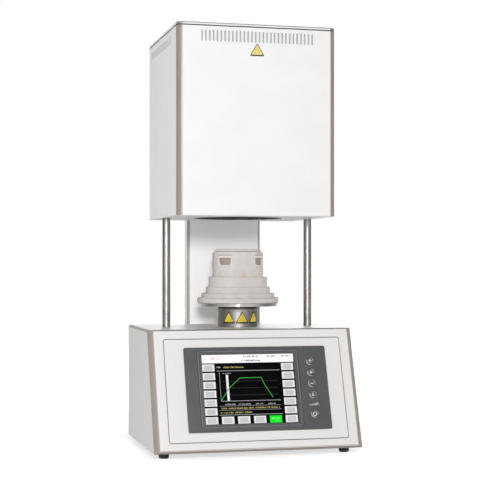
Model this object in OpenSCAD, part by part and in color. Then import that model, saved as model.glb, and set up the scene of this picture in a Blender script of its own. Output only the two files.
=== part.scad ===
// Bench furnace for sintering dental ceramics. A heated head stands on two columns over a base
// housing, and a lift in the base raises the stepped plug and its crucible into the mouth.
// Millimetres. +X right, +Y back, +Z up. The origin is under the middle of the footprint.

/* [Base housing] */
// Width of the base housing
base_w = 381; // [360:1:430]
// Depth of the base housing, from the toe of the slope to the rear panel
base_d = 285; // [275:1:320]
// Lean of the front panel back from the vertical, in degrees
front_lean = 18.73; // [12:0.01:21]
// Thickness of the base's cover, front and rear sheets
cover_t = 1.5; // [1:0.1:2]
// Thickness of the bottom tray
pan_t = 2; // [1.5:0.1:3]
// Height of the tray's turned-up edges
pan_edge_h = 12; // [8:1:18]
// Bend radius of the front panel's side corners
slope_corner_r = 10; // [6:0.5:14]
// Bend radius between the cover's top and sides
cover_bend_r = 4.5; // [3:0.5:8]
// Rounding of the cover's top front edge
top_edge_r = 3; // [2:0.5:5]
// Rounding of the toe of the front panel
toe_r = 5; // [3:0.5:7]
// Depth of the front panel's side returns
fascia_return = 13; // [12:0.5:20]
// Seam between neighbouring sheets
seam = 0.35; // [0.2:0.05:0.6]
// Height of the rubber feet
foot_h = 12; // [8:0.5:16]
// Diameter of a rubber foot
foot_d = 20; // [16:1:26]
// Distance of the feet's centres from the sides
foot_in_x = 23.5; // [18:0.5:40]
// Distance of the front feet's centres from the toe
foot_in_front = 41.5; // [36:0.5:60]
// Distance of the rear feet's centres from the rear panel
foot_in_back = 24.5; // [20:0.5:50]

/* [Control panel] */
// Width of the recess that frames the control plate
groove_w = 329.4; // [310:0.2:334]
// Height of that recess, up the slope
groove_h = 189.1; // [165:0.1:225]
// Distance up the slope from the toe to the recess
groove_up = 18.6; // [16:0.1:20]
// Least height of plain panel above the recess
panel_margin = 12; // [6:0.5:20]
// Width of the shadow gap round the control plate
groove_gap = 1.6; // [1:0.1:2.4]
// Corner radius of the recess
groove_r = 5; // [4:0.5:8]
// Thickness of the control plate's front sheet
plate_t = 2; // [1.5:0.1:3]
// Width of the dark display frame
bezel_w = 263.7; // [255:0.1:280]
// Height of the dark display frame
bezel_h = 154.4; // [150:0.1:165]
// Distance of the frame's centre to the right of the middle
bezel_x = 2.85; // [0:0.05:6]
// Thickness of the display frame
bezel_t = 2; // [1.5:0.1:3]
// Width of the visible screen
screen_w = 170.7; // [160:0.1:176]
// Height of the visible screen
screen_h = 126.8; // [120:0.1:132]
// Distance of the screen's centre to the left of the middle
screen_x = 11.35; // [8:0.05:14]
// Width of the stepped border round the screen
border_w = 9; // [6:0.1:10]
// Thickness of the screen's glass
glass_t = 1.8; // [1:0.1:2]
// Diameter of a key
key_d = 14.4; // [12:0.1:16]
// Depth of the finger dish in a key
key_dish = 0.6; // [0.3:0.05:0.8]
// Travel of a key
key_travel = 0.5; // [0.3:0.05:0.6]
// Distance between the four upper keys
key_pitch = 20.6; // [18:0.1:22]
// Distance of the keys to the right of the middle
key_x = 104.2; // [102:0.1:112]
// Distance of the lowest key below the one above it
power_drop = 35.5; // [30:0.1:40]

/* [Lift] */
// Travel of the lift from loading to closed
lift_travel = 158.5; // [140:0.5:180]
// Distance of the lift's axis from the rear panel
axis_back = 112; // [108:0.5:118]
// Room for the pulleys below the drive plate
drive_space = 22; // [21:0.5:30]
// Thickness of the drive plate
drive_plate_t = 6; // [5:0.5:9]
// Height of the guide bushes in the carriage
bush_h = 11; // [10:0.5:16]
// Thickness of the carriage plate
carriage_t = 8; // [6:0.5:9]
// Thickness of the upper bridge
bridge_t = 8; // [7:0.5:12]
// Clearance at both ends of the carriage's travel
stop_gap = 1.5; // [1:0.1:3]
// Diameter of the guide rods
guide_d = 12; // [10:0.5:14]
// Distance of each guide rod from the lift's axis
guide_x = 55; // [53:0.5:60]
// Diameter of the lift screw
screw_d = 16; // [13:0.5:20]
// Diameter of the polished columns
column_d = 15; // [12:0.5:18]
// Distance from the head's side face to a column's surface
column_in = 1.15; // [1:0.05:8]
// Outer diameter of the lift tube
tube_d = 75.2; // [70:0.1:80]
// Wall of the lift tube
tube_t = 2.6; // [2:0.1:4]
// Length of tube that shows above the cover
tube_show = 39.1; // [30:0.1:60]
// Diameter of the steel flange on the tube
flange_d = 149.2; // [140:0.1:152]
// Thickness of the flange
flange_t = 5.1; // [4:0.1:8]
// Radial running clearance of every shaft in its bush
run_gap = 0.06; // [0.03:0.01:0.09]

/* [Plug and crucible] */
// Diameter of the plug's lowest step
plug_d1 = 153.3; // [150:0.1:156]
// Height of the plug's lowest step
plug_h1 = 10.8; // [8:0.1:14]
// Diameter of the plug's second step
plug_d2 = 137.6; // [132:0.1:142]
// Height of the plug's second step
plug_h2 = 8; // [6:0.1:12]
// Diameter of the plug's third step
plug_d3 = 121.2; // [114:0.1:128]
// Height of the plug's third step
plug_h3 = 11.9; // [8:0.1:16]
// Diameter of the plug's top
plug_d4 = 110; // [100:0.1:112]
// Height of the plug's top above the third step
plug_h4 = 18.8; // [12:0.1:22]
// Chamfer of the plug's edges
plug_chamfer = 2; // [1:0.1:3]
// Outer diameter of the crucible
crucible_d = 95.4; // [85:0.1:99]
// Height of the crucible
crucible_h = 46.7; // [40:0.1:50]
// Wall of the crucible
crucible_wall = 7.5; // [5:0.1:9]
// Height of the crucible's floor above its foot
crucible_foot = 6; // [5.8:0.1:8]
// Thickness of the crucible's floor
crucible_floor = 5; // [3:0.1:8]
// Width of a grip pocket in the crucible
pocket_w = 25; // [18:0.5:26]
// Height of a grip pocket in the crucible
pocket_h = 13.4; // [10:0.1:16]
// Radius of a pocket's lower corners
pocket_r = 6; // [3:0.1:10]
// Distance of a pocket's lower edge above the crucible's foot
pocket_up = 22.3; // [18:0.1:26]
// Wall left between a pocket and the inside
pocket_wall = 1.8; // [1.2:0.1:3]
// Depth of the flat recess round a pocket
pocket_recess = 2; // [1:0.1:3]
// Height of the recess above the pocket
recess_over = 5.6; // [3:0.1:7]
// Height of the recess below the pocket
recess_under = 3.2; // [2:0.1:5]
// Width of the notches in the crucible's foot
notch_w = 6; // [4:0.5:8]
// Height of those notches
notch_h = 5.5; // [4:0.1:5.7]
// Distance of the support's tabs behind the crucible's face
tab_in = 0.9; // [0.3:0.1:2]
// Diameter of the crucible's lid
lid_d = 86.9; // [82:0.1:90]
// Height of the lid above the crucible's rim
lid_h = 5.9; // [4:0.1:8]

/* [Head] */
// Width of the head
head_w = 292.3; // [286:0.1:310]
// Depth of the head
head_d = 285.2; // [280:0.1:300]
// Height of the head's shell
head_h = 334.8; // [320:0.1:380]
// Thickness of the head's sheets
head_t = 1.2; // [1:0.1:1.5]
// Radius of the head's vertical corners
head_r = 10.4; // [8:0.1:14]
// Shadow gap under the lid plate
lid_gap = 2; // [1.5:0.1:3]
// Thickness of the lid plate
lid_plate_t = 4.5; // [3:0.1:6]
// Rounding of the lid plate's top edge
lid_edge_r = 2; // [1:0.1:2.5]
// Gap between the closed plug's flange and the head
seat_gap = 1.4; // [1:0.1:3]
// Thickness of the head's bottom plate
floor_t = 3; // [2:0.1:4]
// Outer diameter of the mouth ring
mouth_d = 166.4; // [164:0.1:170]
// Clearance round the plug in the mouth
mouth_gap = 1.6; // [1.2:0.1:2.2]
// Radius of the insulation
insulation_r = 113; // [108:0.5:116]
// Radius of the heating chamber
chamber_r = 62.1; // [62:0.1:66]
// Height of the chamber's roof above the head's underside
chamber_h = 134; // [132:0.5:150]
// Thickness of the roof insulation
roof_t = 52; // [40:1:70]
// Wire diameter of a heating element in the hot zone
element_d = 4; // [3:0.1:4.4]
// Diameter of a heating element's upper shanks
shank_d = 6; // [5:0.1:6.4]
// Distance between a heating element's legs
element_pitch = 20; // [16:0.5:24]
// Width of a vent slot
slot_w = 3; // [2:0.1:4]
// Distance between vent slots
slot_pitch = 7; // [6:0.1:9]
// Height of the front vent slots
front_slot_h = 19.5; // [14:0.5:24]
// Height of the side vent slots
side_slot_h = 13.5; // [10:0.5:20]

/* [Rear spine and connections] */
// Width of the rear spine
spine_w = 148; // [120:1:160]
// Depth of the rear spine
spine_d = 26; // [20:0.5:34]
// Size of the cooling fan
fan_size = 80; // [70:1:84]
// Depth of the cooling fan
fan_d = 25; // [20:1:28]
// Angle that the mains switch tips through, in degrees
rocker_tilt = 16; // [10:1:18]

/* [Hidden] */
$fn = 48;
cut = 1;
fit = 0.3;

// Footprint
overall_d = base_d + spine_d;
front_y = -overall_d / 2;
base_back_y = front_y + base_d;
rear_y = overall_d / 2;
axis_y = base_back_y - axis_back;
cable_y = rear_y - spine_d / 2 - 0.5;

// Stack of the lift inside the base
pan_z = foot_h;
pan_top = pan_z + pan_t;
drive_z = pan_top + drive_space;
drive_top = drive_z + drive_plate_t;
carriage_z = drive_top + stop_gap;
bridge_z = carriage_z + bush_h + lift_travel + stop_gap;
bridge_top = bridge_z + bridge_t;
panel_need = pan_z + (groove_up + groove_h + panel_margin) * cos(front_lean);
cover_under = max(bridge_top + 0.6, panel_need - cover_t);
base_top = cover_under + cover_t;
plate_z = carriage_z + (bush_h - carriage_t) / 2;
tube_z = plate_z + carriage_t;
tube_top = base_top + tube_show;
flange_top = tube_top + flange_t;
plug_top = flange_top + plug_h1 + plug_h2 + plug_h3 + plug_h4;
rim_z = plug_top + crucible_h;

// Head
head_z = flange_top + lift_travel + seat_gap;
head_top = head_z + head_h;
lid_z = head_top + lid_gap;
head_front_y = rear_y - head_d;
head_mid_y = rear_y - head_d / 2;
floor_top = head_z + floor_t;
ring_flange_t = 3;
block_z = floor_top + ring_flange_t;
roof_z = head_z + chamber_h;
roof_top = roof_z + roof_t;
pad_h = 6;
pad_top = roof_top + pad_h;
column_x = head_w / 2 - column_in - column_d / 2;
stud_r = 4;
nut_flats = 13;
nut_t = 6.5;
socket_h = 20;
socket_wall = 6;
socket_flange_r = 22;
socket_flange_t = 5;
slot_mid_z = head_top - 16.75;
side_slot_z = head_top - 18.25;
window_in = 26;

// Front slope: the sharp toe stands a little ahead of its rounding
toe_y = front_y + toe_r - toe_r / tan((90 - front_lean) / 2);
tray_front_y = toe_y + (fascia_return + seam) / cos(front_lean) + cover_t * tan(front_lean);
inner_x = base_w / 2 - cover_t - fit;

// Control panel, as distances up the slope
groove_mid = groove_up + groove_h / 2;
screen_up = groove_mid + 0.75;
bezel_up = groove_mid + 0.35;
key_top_up = groove_mid + (3 * key_pitch + power_drop) / 2;
key_ups = [key_top_up, key_top_up - key_pitch, key_top_up - 2 * key_pitch,
    key_top_up - 3 * key_pitch, key_top_up - 3 * key_pitch - power_drop];
panel_back = cover_t + 1.5;
// Distance of the display board behind the panel's face
board_n = 8;
board_t = 1.6;
display_board_w = 236;
board_post_r = 3;
main_board = [200, 120];
main_board_gap = 17;
sink_plate = [50, 5, 22];
sink_at = [-60, 20];
fin = [2, 16];
fin_pitch = 5.5;
relay = [18, 14, 15];
relay_at = [-10, 30];
relay_pitch = 22;
capacitor_r = 8;
capacitor_h = 25;
capacitor_at = [-70, -30];
capacitor_pitch = 20;
terminal = [84, 11, 10];
terminal_at = [40, -40];
key_hole_r = 6;
stem_d = 8;
stem_depth = panel_back + key_travel + 0.95;
key_proud = 0.6;
switch_gap = 0.05;

// Drive
belt_w = 9;
tooth_pitch = 5;
screw_teeth = 24;
motor_teeth = 12;
screw_pulley_r = screw_teeth * tooth_pitch / PI / 2;
motor_pulley_r = motor_teeth * tooth_pitch / PI / 2;
tooth_cut = 0.5;
belt_t = 1.8;
belt_gap = 0.3;
pulley_h = belt_w + 2;
pulley_z = drive_z - stop_gap - pulley_h;
carriage_d = 56;
motor_size = 57;
motor_x = 98;
motor_y = axis_y + carriage_d / 2 + 4 + motor_size / 2;
plate_front = 32;
plate_back = 34;
plate_rim = 15;
plate_step = 20;
motor_rim = 8;
leg_t = 4;
motor_h = 56;
pilot_r = 19;
pilot_h = 1.6;
shaft_r = 3.175;
journal_r = 4;
collar_r = 6;
bearing_h = 7;
nut_h = 22;
nut_r = 14;
screw_end_gap = 0.5;
screw_top = carriage_z + nut_h + lift_travel + 5;
tube_bush_wall = 5;
spigot_h = 12;
spigot_t = 5;

// Connections on the rear panel, in the room on either side of the spine
side_room = inner_x - spine_w / 2;
side_mid = spine_w / 2 + side_room / 2;
panel_slot_pitch = 9;
panel_slot_h = 42;
panel_slot_z = 60;
tray_slot_x = 61.5;
tray_slot_in = 50;
panel_slots = floor((side_room - 22) / panel_slot_pitch) + 1;
inlet_x = -side_mid;
inlet_z = 127;
switch_x = -side_mid;
switch_z = 166;
// Height of the rocker's pin over the panel's face, which is inside it
rocker_r = 11.3;
rocker_w = 14;
rocker_pin_r = 1.2;
rocker_n = -3;
fuse_z = 200;
fuse_pitch = 38;
fuse_x = [-side_mid - fuse_pitch / 2, -side_mid + fuse_pitch / 2];
fan_x = side_mid;
fan_z = 150;
fan_bore_r = fan_size / 2 - 2;
spine_t = 1.5;
spine_bend_r = 5;
spine_hole_r = 17;
spine_hole_z = 180;
cable_d = 8;
cable_x = 12;
core = [84, 46, 72];
winding_out = 12;
transformer_gap = 6.7;
transformer_x = transformer_gap + core.x / 2 - inner_x + pan_t;
transformer_y = base_back_y - cover_t - fit - pan_t - 3.2 - core.y / 2 - winding_out;
tap_x = 14;
tap_h = 8;

// Heating elements, as the places of their eight legs about the lift's axis
element_r = chamber_r - element_d / 2 - 2.6;
element_low = flange_top - tube_top + plug_h1 + plug_h2 + plug_h3 + plug_h4 + 5.3;
element_bend_z = head_z + element_low - flange_t + element_pitch / 2;
clamp_size = 13;
clamp_h = 16;
shank_top = pad_top + clamp_h + 3;
probe_r = 3;
probe_tip = 6;
probe_neck = 10;
probe_head_h = 22;
probe_head_r = 13;
probe_collar_r = 10;
probe_collar_h = 4;

function unit(v) = v / norm(v);
function corner_angle(a, p, b) = acos(unit(a - p) * unit(b - p));
function leg(turn, side) = [element_r * cos(turn) - side * element_pitch / 2 * sin(turn),
    element_r * sin(turn) + side * element_pitch / 2 * cos(turn)];

// A polygon whose corners are true arcs; a radius of 0 keeps a corner sharp
module round_poly(pts, radii) {
    n = len(pts);
    polygon([for (i = [0 : n - 1])
        let (a = pts[(i + n - 1) % n], p = pts[i], b = pts[(i + 1) % n],
            d = radii[i] / tan(corner_angle(a, p, b) / 2))
        each radii[i] == 0 ? [p] : [p + unit(a - p) * d, p + unit(b - p) * d]]);
    for (i = [0 : n - 1])
        if (radii[i] > 0) {
            a = pts[(i + n - 1) % n];
            p = pts[i];
            b = pts[(i + 1) % n];
            reach = radii[i] / sin(corner_angle(a, p, b) / 2);
            translate(p + unit(unit(a - p) + unit(b - p)) * reach) circle(r = radii[i]);
        }
}

// A rectangle about its middle, with round corners
module soft_rect(w, h, r) {
    square([w - 2 * r, h], center = true);
    square([w, h - 2 * r], center = true);
    for (x = [-1, 1], y = [-1, 1])
        translate([x * (w / 2 - r), y * (h / 2 - r)]) circle(r = r);
}

// A vertical disc or ring about the lift's axis
module on_axis() {
    translate([0, axis_y, 0]) children();
}

module ring(z, h, r_out, r_in) {
    translate([0, 0, z]) difference() {
        cylinder(h = h, r = r_out);
        translate([0, 0, -cut]) cylinder(h = h + 2 * cut, r = r_in);
    }
}

// Slope frame: x across, y up the slope from the toe, z out of the panel
module on_panel() {
    translate([0, toe_y, pan_z]) rotate([90 - front_lean, 0, 0]) children();
}

// Rear frame: x across, y up, z out to the back, drawn at the rear panel's outer face
module on_rear(x, z) {
    translate([x, base_back_y, z]) rotate([90, 0, 180]) children();
}

// A layer of the panel between two distances out of its face
module layer(low, high) {
    translate([0, 0, low]) linear_extrude(high - low) children();
}

// The base's outer form, drawn in by a wall, with its back and bottom where they are asked for
module base_block(wall, back, bottom) {
    top = base_top - wall;
    rise = tan(front_lean);
    low_y = toe_y + (bottom - pan_z) * rise + wall / cos(front_lean);
    high_y = toe_y + (top - pan_z) * rise + wall / cos(front_lean);
    long = base_w + base_top;
    intersection() {
        translate([-long / 2, 0, 0]) rotate([90, 0, 90]) linear_extrude(long)
            round_poly([[low_y, bottom], [back, bottom], [back, top], [high_y, top]],
                [bottom == pan_z + wall ? toe_r - wall : 0, 0, 0, top_edge_r - wall]);
        translate([0, long / 2, 0]) rotate([90, 0, 0]) linear_extrude(long)
            round_poly([[wall - base_w / 2, bottom - cut], [base_w / 2 - wall, bottom - cut],
                [base_w / 2 - wall, top], [wall - base_w / 2, top]],
                [0, 0, cover_bend_r - wall, cover_bend_r - wall]);
        on_panel() translate([0, long / 2, 0]) rotate([90, 0, 0]) linear_extrude(long)
            round_poly([[wall - base_w / 2, -long], [base_w / 2 - wall, -long],
                [base_w / 2 - wall, -wall], [wall - base_w / 2, -wall]],
                [0, 0, slope_corner_r - wall, slope_corner_r - wall]);
    }
}

// Everything less than a distance behind the front slope
module front_zone(depth, top) {
    intersection() {
        on_panel() translate([-base_w, -base_top, -depth]) cube([2 * base_w, 3 * base_top, depth + 50]);
        translate([-base_w, front_y - base_d, -cut]) cube([2 * base_w, 2 * overall_d, top + cut]);
    }
}

// A row of upright slots with round ends
module vent_slots(count, pitch, w, h, depth) {
    for (i = [0 : count - 1])
        translate([(i - (count - 1) / 2) * pitch, 0, -depth / 2])
            linear_extrude(depth) soft_rect(w, h, w / 2 - 0.01);
}

module base_pan() {
    tray_d = base_back_y - cover_t - fit - tray_front_y;
    color("#b9babb") translate([0, tray_front_y + tray_d / 2, pan_z]) difference() {
        linear_extrude(pan_t + pan_edge_h) soft_rect(2 * inner_x, tray_d, 3);
        translate([0, 0, pan_t]) linear_extrude(pan_edge_h + cut)
            soft_rect(2 * (inner_x - pan_t), tray_d - 2 * pan_t, 1.5);
        for (side = [-1, 1]) translate([side * tray_slot_x, -tray_d / 2 + tray_slot_in, 0])
            vent_slots(8, panel_slot_pitch, slot_w, panel_slot_h, 4 * pan_t);
    }
}

module base_cover() {
    color("#f1f1ef") difference() {
        base_block(0, base_back_y, pan_z);
        base_block(cover_t, base_back_y + cut, pan_z - cut);
        front_zone(fascia_return + seam, cover_under);
        on_axis() cylinder(h = base_top + cut, r = tube_d / 2 + 0.6);
        for (x = [-column_x, column_x])
            translate([x, axis_y, 0]) cylinder(h = base_top + cut, r = column_d / 2 + 0.4);
    }
}

module front_fascia() {
    color("#efefed") difference() {
        intersection() {
            difference() {
                base_block(0, base_back_y, pan_z);
                base_block(cover_t, base_back_y + cut, pan_z + cover_t);
            }
            front_zone(fascia_return, cover_under - seam);
        }
        on_panel() translate([0, groove_mid, 0]) layer(-panel_back - cut, cut)
            soft_rect(groove_w, groove_h, groove_r);
    }
}

module base_rear_panel() {
    panel_h = cover_under - fit - pan_z;
    bend = cover_bend_r - cover_t;
    color("#e3e3e1") difference() {
        translate([0, base_back_y, pan_z]) rotate([90, 0, 0]) linear_extrude(cover_t)
            round_poly([[-inner_x, 0], [inner_x, 0], [inner_x, panel_h], [-inner_x, panel_h]],
                [0, 0, bend, bend]);
        on_rear(inlet_x, inlet_z) layer(-5, 5) square([27.6, 20.2], center = true);
        on_rear(switch_x, switch_z) layer(-5, 5) square([18.8, 27.2], center = true);
        for (x = fuse_x) on_rear(x, fuse_z) layer(-5, 5) circle(r = 6.25);
        on_rear(fan_x, fan_z) layer(-5, 5) circle(r = fan_bore_r);
        on_rear(0, spine_hole_z) layer(-5, 5) circle(r = spine_hole_r);
        for (x = [inlet_x, fan_x]) on_rear(x, panel_slot_z)
            vent_slots(panel_slots, panel_slot_pitch, slot_w, panel_slot_h, 10);
    }
}

// Key places on the panel
module at_keys() {
    for (up = key_ups) translate([key_x, up]) children();
}

module control_plate() {
    color("#f0f0ee") on_panel() difference() {
        translate([0, groove_mid, 0]) {
            layer(-plate_t, 0)
                soft_rect(groove_w - 2 * groove_gap, groove_h - 2 * groove_gap, groove_r - groove_gap);
            layer(-panel_back, -cover_t) soft_rect(groove_w + 14, groove_h + 12, groove_r);
        }
        translate([-screen_x, screen_up]) layer(-panel_back - cut, cut)
            soft_rect(screen_w + 14, screen_h + 10, 2);
        layer(-panel_back - cut, cut) at_keys() circle(r = key_hole_r);
    }
}

module display_bezel() {
    color("#55575a") on_panel() difference() {
        translate([bezel_x, bezel_up]) {
            layer(0, bezel_t - 0.6) soft_rect(bezel_w, bezel_h, 3.5);
            layer(bezel_t - 0.6, bezel_t) soft_rect(bezel_w - 1.2, bezel_h - 1.2, 2.9);
        }
        translate([-screen_x, screen_up]) {
            layer(bezel_t - 0.7, bezel_t + cut) soft_rect(screen_w + 2 * border_w, screen_h + 14, 3);
            layer(bezel_t - 1.3, bezel_t) soft_rect(screen_w + border_w, screen_h + 7, 2.5);
            layer(-cut, bezel_t) soft_rect(screen_w, screen_h, 1);
        }
        layer(-cut, bezel_t + cut) at_keys() circle(d = key_d + 0.6);
    }
}

module screen_glass() {
    color("#16181a") on_panel() translate([-screen_x, screen_up])
        layer(-glass_t, 0) soft_rect(screen_w + 9, screen_h + 7, 2);
}

// Display and key board: panel, circuit board, key switches and its posts
module display_module() {
    color("#2f5d46") on_panel() {
        translate([-screen_x, screen_up]) layer(-board_n, -glass_t)
            soft_rect(screen_w + 5, screen_h + 4, 1);
        translate([0, screen_up]) {
            layer(-board_n - board_t, -board_n) soft_rect(display_board_w, screen_h + 16, 2);
            for (x = [-1, 1], y = [-1, 1])
                translate([x * (display_board_w / 2 - 4), y * (screen_h / 2 + 4)])
                    layer(-board_n, -panel_back) circle(r = board_post_r);
        }
        layer(-board_n, -stem_depth - switch_gap) at_keys() square([6.2, 6.2], center = true);
    }
}

// A round key with a flat-bottomed dish for the finger, and the stem that reaches its switch
module key_cap(place) {
    shoulder = key_travel + 0.05;
    top = bezel_t + key_proud;
    r = key_d / 2;
    rim = 0.4;
    on_panel() translate([key_x, key_ups[place]]) {
        rotate_extrude() polygon([[0, shoulder], [r, shoulder], [r, top - rim], [r - rim, top],
            [r - 2 * rim, top], [r - 2 * rim - 2.5 * key_dish, top - key_dish], [0, top - key_dish]]);
        layer(key_travel - stem_depth, shoulder) circle(d = stem_d);
    }
}

module key_up() {
    color("#5f6164") key_cap(0);
}

module key_plus() {
    color("#5f6164") key_cap(1);
}

module key_minus() {
    color("#5f6164") key_cap(2);
}

module key_down() {
    color("#5f6164") key_cap(3);
}

module key_power() {
    color("#5f6164") key_cap(4);
}

// Main board behind the display: board, heat sink, relays, capacitors, posts
module controller_board() {
    back = board_n + board_t + main_board_gap;
    under = -back - board_t;
    color("#2d6a4a") on_panel() translate([0, screen_up, 0]) {
        layer(under, -back) soft_rect(main_board.x, main_board.y, 2);
        for (x = [-1, 1], y = [-1, 1])
            translate([x * (main_board.x / 2 - 10), y * (main_board.y / 2 - 10)])
                layer(-back, -board_n - board_t) circle(r = board_post_r);
        translate(sink_at) layer(under - sink_plate.z, under) {
            square([sink_plate.x, sink_plate.y], center = true);
            for (i = [-4 : 4]) translate([i * fin_pitch, fin.y / 2]) square(fin, center = true);
        }
        for (i = [0 : 3]) translate([relay_at.x + i * relay_pitch, relay_at.y])
            layer(under - relay.z, under) square([relay.x, relay.y], center = true);
        for (i = [0 : 2]) translate([capacitor_at.x + i * capacitor_pitch, capacitor_at.y])
            layer(under - capacitor_h, under) circle(r = capacitor_r);
        translate(terminal_at) layer(under - terminal.z, under)
            square([terminal.x, terminal.y], center = true);
    }
}

// Mains transformer: laminated core, winding and mounting feet
module transformer() {
    foot = 3;
    color("#4b4742") translate([transformer_x, transformer_y, pan_top]) {
        translate([-core.x / 2, -core.y / 2, foot]) cube(core);
        translate([0, core.y / 2 + winding_out, foot + core.z / 2]) rotate([90, 0, 0])
            linear_extrude(core.y + 2 * winding_out) soft_rect(core.x - 30, core.z - 28, 6);
        for (x = [-1, 1]) translate([x * (core.x / 2 - 8) - 8, -core.y / 2 - winding_out, 0])
            cube([16, core.y + 2 * winding_out, foot]);
        for (x = [-tap_x, tap_x])
            translate([x, 0, foot + core.z]) cylinder(h = tap_h, r = 5);
    }
}

module mains_inlet() {
    color("#242526") on_rear(inlet_x, inlet_z) {
        difference() {
            union() {
                layer(0, 2.5) soft_rect(50, 23, 4);
                layer(-21, 0) square([27, 19.6], center = true);
            }
            layer(-15, 2.5 + cut) polygon([[-12, -8], [12, -8], [12, 4], [8, 8], [-8, 8], [-12, 4]]);
            for (x = [-20, 20]) translate([x, 0]) layer(-cut, 2.5 + cut) circle(r = 1.75);
        }
        for (p = [[-7, -1.5], [7, -1.5], [0, 3.5]])
            translate(p) layer(-15, 0.8) square([2, 4], center = true);
    }
}

module switch_frame() {
    color("#1f2021") on_rear(switch_x, switch_z) difference() {
        union() {
            layer(0, 2) soft_rect(rocker_w + 8, 2 * rocker_r + 8.4, 2);
            layer(-16.5, 0) square([rocker_w + 4.4, 2 * rocker_r + 4.2], center = true);
        }
        layer(-14.5, 2 + cut) square([rocker_w + 0.4, 2 * rocker_r + 1], center = true);
        translate([-20, 0, rocker_n]) rotate([0, 90, 0])
            cylinder(h = 40, r = rocker_pin_r + run_gap);
    }
}

module switch_rocker() {
    color("#303133") on_rear(switch_x, switch_z) translate([0, 0, rocker_n])
        rotate([rocker_tilt / 2, 0, 0]) rotate([0, 90, 0]) {
            translate([0, 0, -rocker_w / 2]) linear_extrude(rocker_w) intersection() {
                circle(r = rocker_r);
                polygon([[4, -7], [4, 7], [-6.4, 12], [-5.2, 3], [-5.2, -3], [-6.4, -12]]);
            }
            translate([0, 0, -rocker_w / 2 - 2]) cylinder(h = rocker_w + 4, r = rocker_pin_r);
        }
}

module fuse_holders() {
    color("#262728") for (x = fuse_x) on_rear(x, fuse_z) difference() {
        union() {
            layer(-30, 0) circle(r = 6);
            layer(0, 2) circle(r = 9);
            layer(2, 9) circle(r = 7);
        }
        layer(8, 9 + cut) square([1.6, 20], center = true);
    }
}

// Fan frame with its hub on three struts and the pin that the rotor turns on
module fan_frame() {
    color("#2b2c2e") on_rear(fan_x, fan_z) translate([0, 0, -cover_t - fan_d]) {
        difference() {
            linear_extrude(fan_d) soft_rect(fan_size, fan_size, 4);
            translate([0, 0, -cut]) cylinder(h = fan_d + 2 * cut, r = fan_bore_r);
        }
        intersection() {
            cylinder(h = 4, r = fan_bore_r + 1);
            for (turn = [30, 150, 270]) rotate([0, 0, turn]) translate([0, -2.5, 0])
                cube([fan_size, 5, 4]);
        }
        cylinder(h = 4, r = 17);
        cylinder(h = fan_d - 5, r = 3);
    }
}

module fan_rotor() {
    blade_r = fan_bore_r - 1;
    color("#3a3b3e") on_rear(fan_x, fan_z) translate([0, 0, -cover_t - fan_d + 5]) difference() {
        union() {
            cylinder(h = fan_d - 7, r = 17);
            intersection() {
                ring(1, fan_d - 9, blade_r, 12);
                for (i = [0 : 6]) rotate([0, 0, i * 360 / 7])
                    translate([blade_r / 2 + 8, 0, fan_d / 2 - 3.5]) rotate([40, 0, 0])
                        cube([blade_r, 1.6, fan_size], center = true);
            }
        }
        translate([0, 0, -cut]) cylinder(h = fan_d - 8.5, r = 3 + run_gap);
    }
}

module fan_guard() {
    wire = 1.6;
    color("#c8c9ca") on_rear(fan_x, fan_z) linear_extrude(wire) {
        for (r = [fan_bore_r + 2 : -8 : 10]) difference() {
            circle(r = r);
            circle(r = r - wire);
        }
        intersection() {
            circle(r = fan_size * 0.66);
            for (turn = [45, 135]) rotate(turn) square([fan_size * 1.32, wire + 0.4], center = true);
        }
    }
}

module at_feet() {
    for (x = [-1, 1], y = [front_y + foot_in_front, base_back_y - foot_in_back])
        translate([x * (base_w / 2 - foot_in_x), y, 0]) children();
}

module feet() {
    r = foot_d / 2;
    color("#3b3e40") at_feet() difference() {
        rotate_extrude() {
            polygon([[0, 0], [r - 3, 0], [r - 1, 2], [r, foot_h], [0, foot_h]]);
            translate([r - 3, 2]) circle(r = 2);
        }
        translate([0, 0, -cut]) cylinder(h = cut + 4, r = 4);
    }
}

module column(x) {
    translate([x, axis_y, 0]) {
        translate([0, 0, pan_top]) cylinder(h = head_z - pan_top, r = column_d / 2);
        translate([0, 0, head_z]) cylinder(h = floor_t + 8, r = stud_r);
    }
}

module column_left() {
    color("#c3c4c4") column(-column_x);
}

module column_right() {
    color("#c3c4c4") column(column_x);
}

// A flanged socket at the foot of each column and a nut on each stud in the head
module column_fixings() {
    color("#a4a6a7") for (x = [-column_x, column_x]) translate([x, axis_y, 0]) {
        ring(pan_top, socket_flange_t, socket_flange_r, column_d / 2);
        ring(pan_top + socket_flange_t, socket_h - socket_flange_t, column_d / 2 + socket_wall, column_d / 2);
        translate([0, 0, floor_top]) difference() {
            rotate(30) cylinder(h = nut_t, r = nut_flats / sqrt(3), $fn = 6);
            translate([0, 0, -cut]) cylinder(h = nut_t + 2 * cut, r = stud_r);
        }
    }
}

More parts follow.
